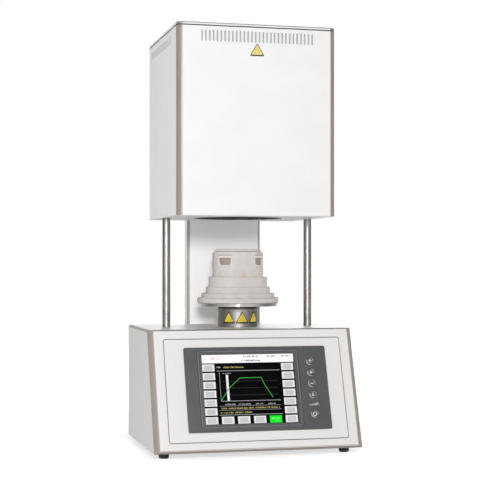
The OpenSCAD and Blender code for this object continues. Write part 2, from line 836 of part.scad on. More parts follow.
// Drive plate on its folded legs: screw bearing, motor pilot and guide rods seat in it
module drive_plate() {
    left = -guide_x - plate_rim;
    right = motor_x + motor_size / 2 + motor_rim;
    deep = plate_front + plate_back;
    color("#9da0a2") difference() {
        union() {
            translate([left, axis_y - plate_front, drive_z]) cube([-2 * left, deep, drive_plate_t]);
            translate([-left - plate_step, motor_y - plate_back, drive_z])
                cube([right + left + plate_step, 2 * plate_back, drive_plate_t]);
            translate([left, axis_y - plate_front, pan_top]) cube([leg_t, deep, drive_space]);
            translate([right - leg_t, motor_y - plate_back, pan_top])
                cube([leg_t, 2 * plate_back, drive_space]);
            translate([-left - leg_t, axis_y - plate_front, pan_top])
                cube([leg_t, plate_front - 2, drive_space]);
        }
        on_axis() translate([0, 0, drive_z - cut]) cylinder(h = 20, r = collar_r + 6);
        for (x = [-guide_x, guide_x])
            translate([x, axis_y, drive_z - cut]) cylinder(h = 20, r = guide_d / 2);
        translate([motor_x, motor_y, drive_z - cut]) cylinder(h = 20, r = pilot_r + 0.1);
    }
}

module lift_motor() {
    color("#3c3d40") translate([motor_x, motor_y, drive_top]) difference() {
        union() {
            linear_extrude(10) soft_rect(motor_size, motor_size, 5);
            translate([0, 0, 10]) linear_extrude(motor_h - 20)
                soft_rect(motor_size - 1.6, motor_size - 1.6, 10);
            translate([0, 0, motor_h - 10]) linear_extrude(10) soft_rect(motor_size, motor_size, 5);
            translate([0, 0, -pilot_h]) cylinder(h = pilot_h + 1, r = pilot_r);
        }
        translate([0, 0, -10]) cylinder(h = 30, r = shaft_r + run_gap);
    }
}

// A toothed pulley between two thin flanges
module pulley(pitch_r, teeth, bore_r) {
    translate([0, 0, pulley_z]) difference() {
        union() {
            linear_extrude(pulley_h) difference() {
                circle(r = pitch_r - tooth_cut);
                for (i = [0 : teeth - 1]) rotate(i * 360 / teeth)
                    translate([pitch_r - 0.4, 0]) circle(r = 1.1);
            }
            cylinder(h = 0.8, r = pitch_r + 1.6);
            translate([0, 0, pulley_h - 0.8]) cylinder(h = 0.8, r = pitch_r + 1.6);
        }
        translate([0, 0, -cut]) cylinder(h = pulley_h + 2 * cut, r = bore_r);
    }
}

module motor_pulley() {
    color("#b8babb") translate([motor_x, motor_y, 0]) {
        pulley(motor_pulley_r, motor_teeth, shaft_r);
        translate([0, 0, pulley_z - 1]) cylinder(h = drive_top + 18 - pulley_z, r = shaft_r);
    }
}

// The outline of a loop drawn tight round both pulleys
module belt_outline(grow) {
    hull() {
        circle(r = screw_pulley_r - tooth_cut + grow);
        translate([motor_x, motor_y - axis_y]) circle(r = motor_pulley_r - tooth_cut + grow);
    }
}

module timing_belt() {
    color("#26282a") on_axis() translate([0, 0, pulley_z + 1]) linear_extrude(belt_w) difference() {
        belt_outline(belt_gap + belt_t);
        belt_outline(belt_gap);
    }
}

// Screw with its lower journal and the collar that carries the pulley and upper bearing
module lead_screw() {
    color("#a9acae") on_axis() {
        translate([0, 0, pan_top + screw_end_gap]) cylinder(h = bearing_h + 1, r = journal_r);
        translate([0, 0, pan_top + bearing_h + 0.6])
            cylinder(h = drive_top + screw_end_gap - pan_top - bearing_h - 0.6, r = collar_r);
        translate([0, 0, drive_top + screw_end_gap])
            cylinder(h = screw_top - drive_top - screw_end_gap, r = screw_d / 2);
    }
}

module screw_pulley() {
    color("#b8babb") on_axis() pulley(screw_pulley_r, screw_teeth, collar_r);
}

module screw_bearings() {
    color("#8f9294") on_axis() {
        ring(pan_top, 2, 19, journal_r + run_gap);
        ring(pan_top + 2, bearing_h - 2, 13, journal_r + run_gap);
        ring(drive_z, drive_plate_t, collar_r + 6, collar_r + run_gap);
    }
}

module lift_nut() {
    color("#b98d3e") on_axis() {
        ring(carriage_z, plate_z - carriage_z, nut_r + 6, screw_d / 2 + run_gap);
        ring(plate_z, nut_h - plate_z + carriage_z, nut_r, screw_d / 2 + run_gap);
    }
}

// Carriage plate with the register that the lift tube stands on
module lift_carriage() {
    color("#a9abad") on_axis() difference() {
        union() {
            translate([0, 0, plate_z]) linear_extrude(carriage_t) {
                soft_rect(2 * guide_x + 40, carriage_d, 12);
                circle(r = tube_d / 2 + 4);
            }
            translate([0, 0, plate_z]) cylinder(h = carriage_t + 4, r = tube_d / 2 - tube_t);
        }
        translate([0, 0, plate_z - cut]) cylinder(h = carriage_t + 10, r = nut_r);
        for (x = [-guide_x, guide_x])
            translate([x, 0, plate_z - cut]) cylinder(h = carriage_t + 10, r = guide_d / 2 + 3);
    }
}

module guide_bushes() {
    color("#b98d3e") on_axis() for (x = [-guide_x, guide_x]) translate([x, 0, 0])
        ring(carriage_z, bush_h, guide_d / 2 + 3, guide_d / 2 + run_gap);
}

module guide_rods() {
    color("#bfc1c2") on_axis() for (x = [-guide_x, guide_x]) translate([x, 0, drive_z])
        cylinder(h = bridge_top - drive_z, r = guide_d / 2);
}

// Bridge clamped to both columns: it guides the lift tube and holds the guide rods' tops
module lift_bridge() {
    color("#a3a5a7") on_axis() translate([0, 0, bridge_z]) linear_extrude(bridge_t) difference() {
        union() {
            soft_rect(2 * column_x + column_d + 16, 44, 14);
            circle(r = tube_d / 2 + tube_bush_wall + 10);
        }
        circle(r = tube_d / 2 + tube_bush_wall);
        for (x = [-1, 1]) {
            translate([x * column_x, 0]) circle(r = column_d / 2);
            translate([x * guide_x, 0]) circle(r = guide_d / 2);
        }
    }
}

module tube_bush() {
    color("#b98d3e") on_axis()
        ring(bridge_z, bridge_t, tube_d / 2 + tube_bush_wall, tube_d / 2 + run_gap);
}

module lift_tube() {
    color("#c9cacb") on_axis() ring(tube_z, tube_top - tube_z, tube_d / 2, tube_d / 2 - tube_t);
}

module lift_flange() {
    color("#cfd0d1") on_axis() {
        translate([0, 0, tube_top]) cylinder(h = flange_t, r = flange_d / 2);
        ring(tube_top - spigot_h, spigot_h, tube_d / 2 - tube_t, tube_d / 2 - tube_t - spigot_t);
    }
}

// One step of the plug with both its edges chamfered
module plug_step(z, h, d) {
    c = min(plug_chamfer, h / 3);
    translate([0, 0, z]) {
        cylinder(h = c, r1 = d / 2 - c, r2 = d / 2);
        translate([0, 0, c]) cylinder(h = h - 2 * c, r = d / 2);
        translate([0, 0, h - c]) cylinder(h = c, r1 = d / 2, r2 = d / 2 - c);
    }
}

module stepped_plug() {
    c = plug_chamfer;
    z2 = flange_top + plug_h1;
    z3 = z2 + plug_h2;
    z4 = z3 + plug_h3;
    color("#cfc6c1") on_axis() rotate_extrude() polygon([[0, flange_top],
        [plug_d1 / 2 - c, flange_top], [plug_d1 / 2, flange_top + c], [plug_d1 / 2, z2 - c],
        [plug_d1 / 2 - c, z2], [plug_d2 / 2, z2], [plug_d2 / 2, z3 - c / 2],
        [plug_d2 / 2 - c / 2, z3], [plug_d3 / 2, z3], [plug_d3 / 2, z4 - c / 2],
        [plug_d3 / 2 - c / 2, z4], [plug_d4 / 2, z4], [plug_d4 / 2, plug_top - c / 2],
        [plug_d4 / 2 - c / 2, plug_top], [0, plug_top]]);
}

// Six notches in the crucible's foot, or the tabs that lie in them
module notches(w, h, reach) {
    for (turn = [0 : 60 : 300]) rotate([0, 0, turn]) translate([-w / 2, -reach, 0])
        cube([w, 2 * crucible_wall, h]);
}

module crucible_support() {
    inner = crucible_d / 2 - crucible_wall;
    color("#d9c3a0") on_axis() translate([0, 0, plug_top]) {
        cylinder(h = crucible_foot - fit, r = inner - fit);
        notches(notch_w - 2 * fit, notch_h - fit, crucible_d / 2 - tab_in);
    }
}

// The outline of a grip pocket: flat top, round lower corners
module pocket_outline(w, h, r) {
    round_poly([[-w / 2, 0], [w / 2, 0], [w / 2, h], [-w / 2, h]], [r, r, 0.8, 0.8]);
}

module crucible() {
    r = crucible_d / 2;
    inner = r - crucible_wall;
    color("#cdc5c0") on_axis() translate([0, 0, plug_top]) difference() {
        cylinder(h = crucible_h, r = r);
        translate([0, 0, -cut]) cylinder(h = crucible_foot + cut, r = inner);
        translate([0, 0, crucible_foot + crucible_floor]) cylinder(h = crucible_h, r = inner);
        for (turn = [45 : 90 : 315]) rotate([90, 0, turn]) {
            translate([0, pocket_up, inner + pocket_wall]) linear_extrude(crucible_wall)
                pocket_outline(pocket_w, pocket_h, pocket_r);
            translate([0, pocket_up - recess_under, r - pocket_recess]) linear_extrude(crucible_wall)
                pocket_outline(pocket_w + 6, pocket_h + recess_under + recess_over, pocket_w / 2);
        }
        translate([0, 0, -cut]) notches(notch_w, notch_h + cut, r + cut);
    }
}

module crucible_lid() {
    color("#c9c1bc") on_axis() {
        plug_step(rim_z, lid_h, lid_d);
        translate([0, 0, rim_z - 4]) cylinder(h = 4.5, r = crucible_d / 2 - crucible_wall - fit);
    }
}

// A full-width rectangle of the head, drawn in by a wall
module head_outline(wall) {
    translate([0, head_mid_y]) soft_rect(head_w - 2 * wall, head_d - 2 * wall, head_r - wall);
}

module head_floor() {
    color("#f4f4f3") translate([0, 0, head_z]) linear_extrude(floor_t) difference() {
        head_outline(head_t);
        translate([0, axis_y]) circle(r = mouth_d / 2);
        for (x = [-column_x, column_x]) translate([x, axis_y]) circle(r = stud_r + 0.3);
        translate([0, cable_y]) soft_rect(2 * cable_x + 24, 15, 5);
    }
}

module mouth_ring() {
    inner = plug_d1 / 2 + mouth_gap;
    color("#4a4744") on_axis() {
        ring(head_z, floor_t, mouth_d / 2, inner);
        ring(floor_top, ring_flange_t, insulation_r + 5, inner);
    }
}

// Insulation round the mouth and chamber: its bore follows the plug's steps
module chamber_insulation() {
    r1 = plug_d1 / 2 + mouth_gap;
    r2 = plug_d2 / 2 + mouth_gap;
    z1 = head_z + plug_h1 - seat_gap + mouth_gap;
    z2 = z1 + plug_h2;
    color("#efeae2") on_axis() rotate_extrude() polygon([[r1, block_z], [insulation_r, block_z],
        [insulation_r, roof_z], [chamber_r, roof_z], [chamber_r, z2], [r2, z2], [r2, z1], [r1, z1]]);
}

module at_legs() {
    for (turn = [0 : 90 : 270], side = [-1, 1]) translate(leg(turn, side)) children();
}

module roof_insulation() {
    color("#ece7df") on_axis() difference() {
        union() {
            translate([0, 0, roof_z]) cylinder(h = roof_t, r = insulation_r);
            translate([0, 0, roof_top]) cylinder(h = pad_h, r = element_r + 22);
        }
        translate([0, 0, roof_z - cut]) {
            at_legs() cylinder(h = roof_t + pad_h + 2 * cut, r = shank_d / 2 + 0.3);
            cylinder(h = roof_t + pad_h + 2 * cut, r = probe_r + 0.3);
        }
    }
}

// Four hairpin elements: thin hot legs joined by a bend, thick shanks through the roof
module heating_elements() {
    color("#5a5552") on_axis() {
        at_legs() {
            translate([0, 0, element_bend_z])
                cylinder(h = roof_z - element_bend_z, r = element_d / 2);
            translate([0, 0, roof_z - 3]) cylinder(h = shank_top - roof_z + 3, r = shank_d / 2);
        }
        for (turn = [0 : 90 : 270]) rotate([0, 0, turn]) translate([element_r, 0, element_bend_z])
            rotate([0, 0, 90]) rotate([-90, 0, 0]) rotate_extrude(angle = 180)
                translate([element_pitch / 2, 0]) circle(d = element_d);
    }
}

// Clamps that hang the elements on the roof pad, and the bars that join them in series
module element_clamps() {
    bar = norm(leg(0, -1) - leg(270, 1));
    color("#b7b9ba") on_axis() difference() {
        union() {
            translate([0, 0, pad_top]) at_legs()
                translate([-clamp_size / 2, -clamp_size / 2, 0]) cube([clamp_size, clamp_size, clamp_h]);
            for (turn = [90, 180, 270]) rotate([0, 0, turn]) translate(leg(0, 1))
                rotate([0, 0, 135]) translate([0, -4, pad_top + 5]) cube([bar, 8, 4]);
        }
        translate([0, 0, pad_top - cut]) at_legs() cylinder(h = 2 * clamp_h, r = shank_d / 2);
    }
}

module thermocouple() {
    color("#e4ded4") on_axis() {
        translate([0, 0, roof_z - probe_tip])
            cylinder(h = roof_t + pad_h + probe_tip + probe_neck, r = probe_r);
        translate([0, 0, pad_top]) cylinder(h = probe_collar_h, r = probe_collar_r);
        translate([0, 0, pad_top + probe_neck]) cylinder(h = probe_head_h, r = probe_head_r);
    }
}

module chamber_can() {
    color("#a7a9aa") on_axis() {
        ring(block_z, roof_top - block_z + 1.2, insulation_r + 1.2, insulation_r);
        ring(roof_top, 1.2, insulation_r + 0.6, insulation_r - 8);
    }
}

module head_posts() {
    color("#aeb0b1") for (x = [-1, 1], y = [-1, 1])
        translate([x * (head_w / 2 - 18), head_mid_y + y * (head_d / 2 - 18), floor_top])
            cylinder(h = lid_z - floor_top, r = 5);
}

module head_shell() {
    front_count = floor((head_w - 89) / slot_pitch) + 1;
    side_count = floor((head_d - 93) / slot_pitch) + 1;
    color("#f7f7f7") difference() {
        translate([0, 0, head_z]) linear_extrude(head_h) difference() {
            head_outline(0);
            head_outline(head_t);
        }
        translate([0, head_front_y, slot_mid_z]) rotate([90, 0, 0])
            vent_slots(front_count, slot_pitch, slot_w, front_slot_h, 4 * head_t);
        for (side = [-1, 1]) translate([side * head_w / 2, head_mid_y + 15, side_slot_z])
            rotate([90, 0, 90]) vent_slots(side_count, slot_pitch, slot_w, side_slot_h, 4 * head_t);
        translate([window_in - head_w / 2, rear_y - 10, floor_top + 10])
            cube([head_w - 2 * window_in, 20, head_h - floor_t - 24]);
    }
}

// Rear panel of the head, behind the edges of the shell's rear window
module head_rear_panel() {
    low = floor_top + fit;
    high = head_top - 7;
    color("#efefee") difference() {
        translate([window_in - 12 - head_w / 2, rear_y - 2 * head_t, low])
            cube([head_w - 2 * window_in + 24, head_t, high - low]);
        for (z = [head_top - 34, head_z + 40]) translate([0, rear_y, z]) rotate([90, 0, 0])
            vent_slots(26, slot_pitch, slot_w, front_slot_h, 8 * head_t);
    }
}

// Lid plate with a rounded top edge, and the skirt that locates it in the shell
module head_lid() {
    w = head_w;
    d = head_d;
    flat = lid_plate_t - lid_edge_r;
    color("#f2f2f2") {
        translate([0, head_mid_y, lid_z]) {
            linear_extrude(flat) soft_rect(w, d, head_r);
            for (x = [-1, 1], y = [-1, 1])
                translate([x * (w / 2 - head_r), y * (d / 2 - head_r), 0]) rotate_extrude()
                    round_poly([[0, 0], [head_r, 0], [head_r, lid_plate_t], [0, lid_plate_t]],
                        [0, 0, lid_edge_r, 0]);
            rotate([90, 0, 90]) translate([0, 0, head_r - w / 2]) linear_extrude(w - 2 * head_r)
                lid_section(d);
            rotate([90, 0, 0]) translate([0, 0, head_r - d / 2]) linear_extrude(d - 2 * head_r)
                lid_section(w);
        }
        translate([0, 0, lid_z - 8]) linear_extrude(8) difference() {
            head_outline(head_t + fit);
            head_outline(2 * head_t + fit);
        }
    }
}

module lid_section(w) {
    round_poly([[-w / 2, 0], [w / 2, 0], [w / 2, lid_plate_t], [-w / 2, lid_plate_t]],
        [0, 0, lid_edge_r, lid_edge_r]);
}

// Folded channel with a closed foot, which carries the cables up behind the base to the head
module spine_channel() {
    depth = spine_d - spine_t;
    half = spine_w / 2;
    color("#c6c7c7") translate([0, base_back_y, pan_z]) difference() {
        linear_extrude(head_z - pan_z)
            round_poly([[-half, 0], [half, 0], [half, depth], [-half, depth]],
                [spine_bend_r, spine_bend_r, 0, 0]);
        translate([0, 0, spine_t]) linear_extrude(head_z - pan_z) {
            round_poly([[spine_t - half, spine_t], [half - spine_t, spine_t],
                [half - spine_t, depth - spine_t], [spine_t - half, depth - spine_t]],
                [spine_bend_r - spine_t, spine_bend_r - spine_t, 0, 0]);
            translate([0, depth]) square([spine_w - 26, 4 * spine_t], center = true);
        }
        translate([0, -cut, spine_hole_z - pan_z]) rotate([-90, 0, 0])
            cylinder(h = spine_t + 2 * cut, r = spine_hole_r);
    }
}

module spine_cover() {
    color("#d2d3d3") translate([-spine_w / 2, rear_y - spine_t, pan_z])
        cube([spine_w, spine_t, head_z - pan_z]);
}

// A cable along its points, with a ball at each turn
module run(points, d) {
    for (i = [0 : len(points) - 2]) {
        step = points[i + 1] - points[i];
        translate(points[i]) rotate([0, acos(step.z / norm(step)), atan2(step.y, step.x)])
            cylinder(h = norm(step), r = d / 2);
        if (i > 0) translate(points[i]) sphere(r = d / 2 + 0.1);
    }
}

// Two heater cables from the transformer's studs, up the spine, to the element clamps
module heater_cables() {
    tap_z = pan_top + 3 + core.z + tap_h;
    left = transformer_x - tap_x;
    right = transformer_x + tap_x;
    start = leg(90, -1) + [0, axis_y];
    end = leg(0, 1) + [0, axis_y];
    color("#b23a2e") {
        run([[left, transformer_y, tap_z], [left, transformer_y, tap_z + 43],
            [-cable_x, base_back_y - 30, spine_hole_z], [-cable_x, cable_y, spine_hole_z],
            [-cable_x, cable_y, shank_top + 40], [start.x, start.y, shank_top + 40],
            [start.x, start.y, shank_top]], cable_d);
        run([[right, transformer_y, tap_z], [right, transformer_y, tap_z + 19],
            [cable_x, base_back_y - 38, spine_hole_z], [cable_x, cable_y, spine_hole_z],
            [cable_x, cable_y, shank_top + 60], [end.x, end.y, shank_top + 60],
            [end.x, end.y, shank_top]], cable_d);
    }
}

base_pan();
base_cover();
front_fascia();
base_rear_panel();
control_plate();
display_bezel();
screen_glass();
display_module();
key_up();
key_plus();
key_minus();
key_down();
key_power();
controller_board();
transformer();
mains_inlet();
switch_frame();
switch_rocker();
fuse_holders();
fan_frame();
fan_rotor();
fan_guard();
feet();
column_left();
column_right();
column_fixings();
drive_plate();
lift_motor();
motor_pulley();
timing_belt();
lead_screw();
screw_pulley();
screw_bearings();
lift_nut();
lift_carriage();
guide_bushes();
guide_rods();
lift_bridge();
tube_bush();
lift_tube();
lift_flange();
stepped_plug();
crucible_support();
crucible();
crucible_lid();
head_floor();
mouth_ring();
chamber_insulation();
roof_insulation();
heating_elements();
element_clamps();
thermocouple();
chamber_can();
head_posts();
head_shell();
head_rear_panel();
head_lid();
spine_channel();
spine_cover();
heater_cables();
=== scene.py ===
# Bench furnace for sintering dental ceramics: the finish of every surface, and the small pieces
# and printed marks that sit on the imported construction. Metres, in the construction's own frame.
import math
import random

import bmesh
import bpy
from mathutils import Matrix, Vector


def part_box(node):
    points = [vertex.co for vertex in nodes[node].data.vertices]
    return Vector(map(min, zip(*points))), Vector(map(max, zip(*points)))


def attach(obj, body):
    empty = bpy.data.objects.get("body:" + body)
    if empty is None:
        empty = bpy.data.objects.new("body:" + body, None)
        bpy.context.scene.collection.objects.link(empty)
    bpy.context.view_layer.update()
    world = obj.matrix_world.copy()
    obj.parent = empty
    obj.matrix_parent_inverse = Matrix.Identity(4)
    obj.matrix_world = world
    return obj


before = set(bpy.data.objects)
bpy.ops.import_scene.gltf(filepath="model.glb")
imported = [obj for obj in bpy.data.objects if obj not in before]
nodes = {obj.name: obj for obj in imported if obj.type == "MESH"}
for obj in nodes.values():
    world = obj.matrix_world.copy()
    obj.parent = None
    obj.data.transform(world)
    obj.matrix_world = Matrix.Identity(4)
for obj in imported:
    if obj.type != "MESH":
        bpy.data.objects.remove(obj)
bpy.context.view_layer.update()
scene = bpy.context.scene
MM = 0.001

# Camera: a long lens at the height of the crucible, a little left of the middle, so that the
# front and the left side show. It is level, and the lens is shifted up to frame the whole height.
camera_place = (-0.5922, -2.3682, 0.3450)
camera_turn = -14.04
lens = bpy.data.cameras.new("studio_camera")
lens.lens = 97.38
lens.shift_y = 0.0472
camera = bpy.data.objects.new("studio_camera", lens)
camera.location = camera_place
camera.rotation_euler = (math.radians(90), 0, math.radians(camera_turn))
scene.collection.objects.link(camera)
scene.camera = camera
scene.view_settings.view_transform = "Standard"


# Studio light: a small soft key lamp in front at head height and a weak one low beside it for the
# steel's bright lines, fills at both sides, behind and above. The room is pale in front and
# behind and dim at both sides, as metal shows it.
def lamp(name, place, aim, size, watts, in_metal=False):
    light = bpy.data.lights.new(name, "AREA")
    light.shape = "DISK"
    light.size = size
    light.energy = watts
    hung = bpy.data.objects.new(name, light)
    hung.location = place
    hung.visible_glossy = in_metal
    hung.rotation_euler = (Vector(aim) - Vector(place)).to_track_quat("-Z", "Y").to_euler()
    scene.collection.objects.link(hung)


middle = (0, 0, 0.42)
lamp("key_lamp", (-0.56, -2.5, 0.85), middle, 0.45, 38.5, in_metal=True)
lamp("left_lamp", (-2.2, -0.25, 0.4), middle, 0.7, 14)
lamp("left_front_lamp", (-1.7, -1.9, 0.8), middle, 1.2, 3)
lamp("right_lamp", (2.1, -0.35, 0.4), middle, 0.7, 17)
lamp("back_lamp", (0.8, 2.5, 1.3), middle, 1.6, 13, in_metal=True)
lamp("catch_light", (-0.55, -2.5, 0.27), middle, 0.2, 1.0, in_metal=True)
lamp("top_lamp", (0.1, -0.2, 2.4), middle, 1.2, 8)

room = bpy.data.worlds.new("studio_room")
room.use_nodes = True
scene.world = room
tree = room.node_tree
tree.nodes.clear()
rays = tree.nodes.new("ShaderNodeLightPath")
toward = tree.nodes.new("ShaderNodeTexCoord")
front_of_room = (-0.17, -0.98, 0)
facing = tree.nodes.new("ShaderNodeVectorMath")
facing.operation = "DOT_PRODUCT"
facing.inputs[1].default_value = front_of_room
tree.links.new(toward.outputs["Generated"], facing.inputs[0])
depth = tree.nodes.new("ShaderNodeMath")
depth.operation = "ABSOLUTE"
tree.links.new(facing.outputs["Value"], depth.inputs[0])
walls = tree.nodes.new("ShaderNodeValToRGB")
walls.color_ramp.elements[0].position = 0.25
walls.color_ramp.elements[0].color = (0.10, 0.10, 0.105, 1)
walls.color_ramp.elements[1].position = 0.85
walls.color_ramp.elements[1].color = (1, 1, 1, 1)
tree.links.new(depth.outputs[0], walls.inputs["Fac"])
mirrored = tree.nodes.new("ShaderNodeBackground")
tree.links.new(walls.outputs["Color"], mirrored.inputs["Color"])
ambient = tree.nodes.new("ShaderNodeBackground")
ambient.inputs["Color"].default_value = (1, 1, 1, 1)
ambient.inputs["Strength"].default_value = 0.05
white = tree.nodes.new("ShaderNodeBackground")
white.inputs["Color"].default_value = (1, 1, 1, 1)
gloss_mix = tree.nodes.new("ShaderNodeMixShader")
tree.links.new(rays.outputs["Is Glossy Ray"], gloss_mix.inputs[0])
tree.links.new(ambient.outputs[0], gloss_mix.inputs[1])
tree.links.new(mirrored.outputs[0], gloss_mix.inputs[2])
seen = tree.nodes.new("ShaderNodeMath")
seen.operation = "MAXIMUM"
tree.links.new(rays.outputs["Is Camera Ray"], seen.inputs[0])
tree.links.new(rays.outputs["Is Transmission Ray"], seen.inputs[1])
seen_mix = tree.nodes.new("ShaderNodeMixShader")
tree.links.new(seen.outputs[0], seen_mix.inputs[0])
tree.links.new(gloss_mix.outputs[0], seen_mix.inputs[1])
tree.links.new(white.outputs[0], seen_mix.inputs[2])
room_out = tree.nodes.new("ShaderNodeOutputWorld")
tree.links.new(seen_mix.outputs[0], room_out.inputs["Surface"])

# Floor: plain matt white board. It glows a little to the camera and to metal and runs into the
# white behind away from the furnace, and it keeps the furnace's soft shadow.
board = bpy.data.materials.new("studio_floor")
board.use_nodes = True
tree = board.node_tree
tree.nodes.clear()
matt = tree.nodes.new("ShaderNodeBsdfDiffuse")
matt.inputs["Color"].default_value = (0.86, 0.86, 0.86, 1)
glow = tree.nodes.new("ShaderNodeEmission")
rays = tree.nodes.new("ShaderNodeLightPath")
direct = tree.nodes.new("ShaderNodeMath")
direct.operation = "MAXIMUM"
tree.links.new(rays.outputs["Is Camera Ray"], direct.inputs[0])
in_metal = tree.nodes.new("ShaderNodeMath")
in_metal.operation = "MULTIPLY"
in_metal.inputs[1].default_value = 0.35
tree.links.new(rays.outputs["Is Glossy Ray"], in_metal.inputs[0])
tree.links.new(in_metal.outputs[0], direct.inputs[1])
spot = tree.nodes.new("ShaderNodeTexCoord")
away = tree.nodes.new("ShaderNodeVectorMath")
away.operation = "LENGTH"
tree.links.new(spot.outputs["Object"], away.inputs[0])
fade = tree.nodes.new("ShaderNodeMapRange")
fade.inputs["From Min"].default_value = 0.3
fade.inputs["From Max"].default_value = 0.9
fade.inputs["To Min"].default_value = 0.6
fade.inputs["To Max"].default_value = 1
tree.links.new(away.outputs["Value"], fade.inputs["Value"])
level = tree.nodes.new("ShaderNodeMath")
level.operation = "MULTIPLY"
tree.links.new(direct.outputs[0], level.inputs[0])
tree.links.new(fade.outputs["Result"], level.inputs[1])
tree.links.new(level.outputs[0], glow.inputs["Strength"])
both = tree.nodes.new("ShaderNodeAddShader")
tree.links.new(matt.outputs[0], both.inputs[0])
tree.links.new(glow.outputs[0], both.inputs[1])
floor_out = tree.nodes.new("ShaderNodeOutputMaterial")
tree.links.new(both.outputs[0], floor_out.inputs["Surface"])
floor_mesh = bpy.data.meshes.new("studio_floor")
board_half = 7
board_corners = [(-board_half, -board_half, 0), (board_half, -board_half, 0),
                 (board_half, board_half, 0), (-board_half, board_half, 0)]
floor_mesh.from_pydata(board_corners, [], [(0, 1, 2, 3)])
floor_mesh.materials.append(board)
floor = bpy.data.objects.new("studio_floor", floor_mesh)
scene.collection.objects.link(floor)


# Bottom tray: zinc-plated sheet with turned-up edges, under the base. The same plating covers
# the drive plate on its legs, the column sockets and nuts, the bearings, posts and chamber can.
def shade(code):
    """A colour as a painter would note it, such as "#c8c9ca", in the linear values of a shader."""
    parts = [int(code[i:i + 2], 16) / 255 for i in (1, 3, 5)]
    return [p / 12.92 if p <= 0.04045 else ((p + 0.055) / 1.055) ** 2.4 for p in parts] + [1]


def surface(name, shades, patch, rough, grain, metal=0.0, stretch=(1, 1, 1)):
    """A finish: shades drift into each other over patches of a size in mm, roughness drifts
    between two values, and a grain of (size in mm, height in mm) stands on it. Stretch draws
    the grain out: a small number lengthens it along that axis."""
    made = bpy.data.materials.new(name)
    made.use_nodes = True
    wires = made.node_tree
    shader = wires.nodes["Principled BSDF"]
    shader.inputs["Metallic"].default_value = metal
    place = wires.nodes.new("ShaderNodeTexCoord")
    drift = wires.nodes.new("ShaderNodeTexNoise")
    drift.name = "drift"
    drift.inputs["Scale"].default_value = 1 / (patch * MM)
    drift.inputs["Detail"].default_value = 5
    wires.links.new(place.outputs["Object"], drift.inputs["Vector"])
    tint = wires.nodes.new("ShaderNodeValToRGB")
    tint.name = "tint"
    stops = tint.color_ramp.elements
    stops[0].position, stops[1].position = 0.36, 0.64
    stops[0].color, stops[1].color = shade(shades[0]), shade(shades[1])
    wires.links.new(drift.outputs["Fac"], tint.inputs["Fac"])
    wires.links.new(tint.outputs["Color"], shader.inputs["Base Color"])
    gloss = wires.nodes.new("ShaderNodeMapRange")
    gloss.name = "gloss"
    gloss.inputs["From Min"].default_value = 0.3
    gloss.inputs["From Max"].default_value = 0.7
    gloss.inputs["To Min"].default_value = rough[0]
    gloss.inputs["To Max"].default_value = rough[1]
    wires.links.new(drift.outputs["Fac"], gloss.inputs["Value"])
    wires.links.new(gloss.outputs["Result"], shader.inputs["Roughness"])
    drawn = wires.nodes.new("ShaderNodeMapping")
    drawn.inputs["Scale"].default_value = stretch
    wires.links.new(place.outputs["Object"], drawn.inputs["Vector"])
    fine = wires.nodes.new("ShaderNodeTexNoise")
    fine.name = "fine"
    fine.inputs["Scale"].default_value = 1 / (grain[0] * MM)
    fine.inputs["Detail"].default_value = 3
    wires.links.new(drawn.outputs["Vector"], fine.inputs["Vector"])
    bump = wires.nodes.new("ShaderNodeBump")
    bump.name = "bump"
    bump.inputs["Distance"].default_value = grain[1] * MM
    wires.links.new(fine.outputs["Fac"], bump.inputs["Height"])
    wires.links.new(bump.outputs["Normal"], shader.inputs["Normal"])
    return made


def dress(finish, *names):
    """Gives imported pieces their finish."""
    for name in names:
        nodes[name].data.materials.clear()
        nodes[name].data.materials.append(finish)


zinc = surface("zinc_plate", ("#9fa2a5", "#bcbec0"), 9, (0.28, 0.42), (0.5, 0.02), metal=0.9)
dress(zinc, "base_pan", "drive_plate", "column_fixings", "screw_bearings", "head_posts",
      "chamber_can")

# Feet: moulded black rubber with a rounded sole, each held by a socket screw from below. The
# drive belt is the same rubber.
rubber = surface("moulded_rubber", ("#2e3032", "#3f4244"), 5, (0.62, 0.8), (0.4, 0.03))
dress(rubber, "feet", "timing_belt")


def lathe(form, rings, place=Matrix(), count=32, closed=True):
    """Turns rings of (radius, height, six_sided) into a solid about the local Z axis. A radius
    of nought closes the form in a point."""
    rows = []
    for radius, height, six_sided in rings:
        row = []
        for i in range(count if radius else 1):
            angle = 2 * math.pi * i / count
            flat = math.cos(math.pi / 6) / math.cos((angle % (math.pi / 3)) - math.pi / 6)
            out = radius * (flat if six_sided else 1)
            point = Vector((out * math.cos(angle), out * math.sin(angle), height))
            row.append(form.verts.new(place @ point))
        rows.append(row)
    for low, high in zip(rows, rows[1:]):
        for i in range(count):
            j = (i + 1) % count
            corners = [low[i % len(low)], low[j % len(low)],
                       high[j % len(high)], high[i % len(high)]]
            form.faces.new(list(dict.fromkeys(corners)))
    if closed and len(rows[0]) > 1:
        form.faces.new(rows[0][::-1])
    if closed and len(rows[-1]) > 1:
        form.faces.new(rows[-1])


def fit(name, form, finish, body, smooth=35):
    """Makes a piece of a form, smooth up to an angle, in its finish and on its body."""
    bmesh.ops.recalc_face_normals(form, faces=form.faces)
    skin = bpy.data.meshes.new(name)
    form.to_mesh(skin)
    form.free()
    skin.materials.append(finish)
    made = bpy.data.objects.new(name, skin)
    scene.collection.objects.link(made)
    for face in skin.polygons:
        face.use_smooth = True
    skin.set_sharp_from_angle(angle=math.radians(smooth))
    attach(made, body)


def screw(form, place, diameter):
    """A button-head socket screw, its foot at the place's origin and its head along Z."""
    r = diameter / 2
    dome = [(r, 0, False), (r, 0.25 * r, False), (0.93 * r, 0.62 * r, False),
            (0.72 * r, 0.9 * r, False)]
    socket = [(0.56 * r, 0.98 * r, True), (0.5 * r, 0.94 * r, True), (0.5 * r, 0.4 * r, True),
              (0, 0.36 * r, False)]
    lathe(form, dome + socket, place, count=24)


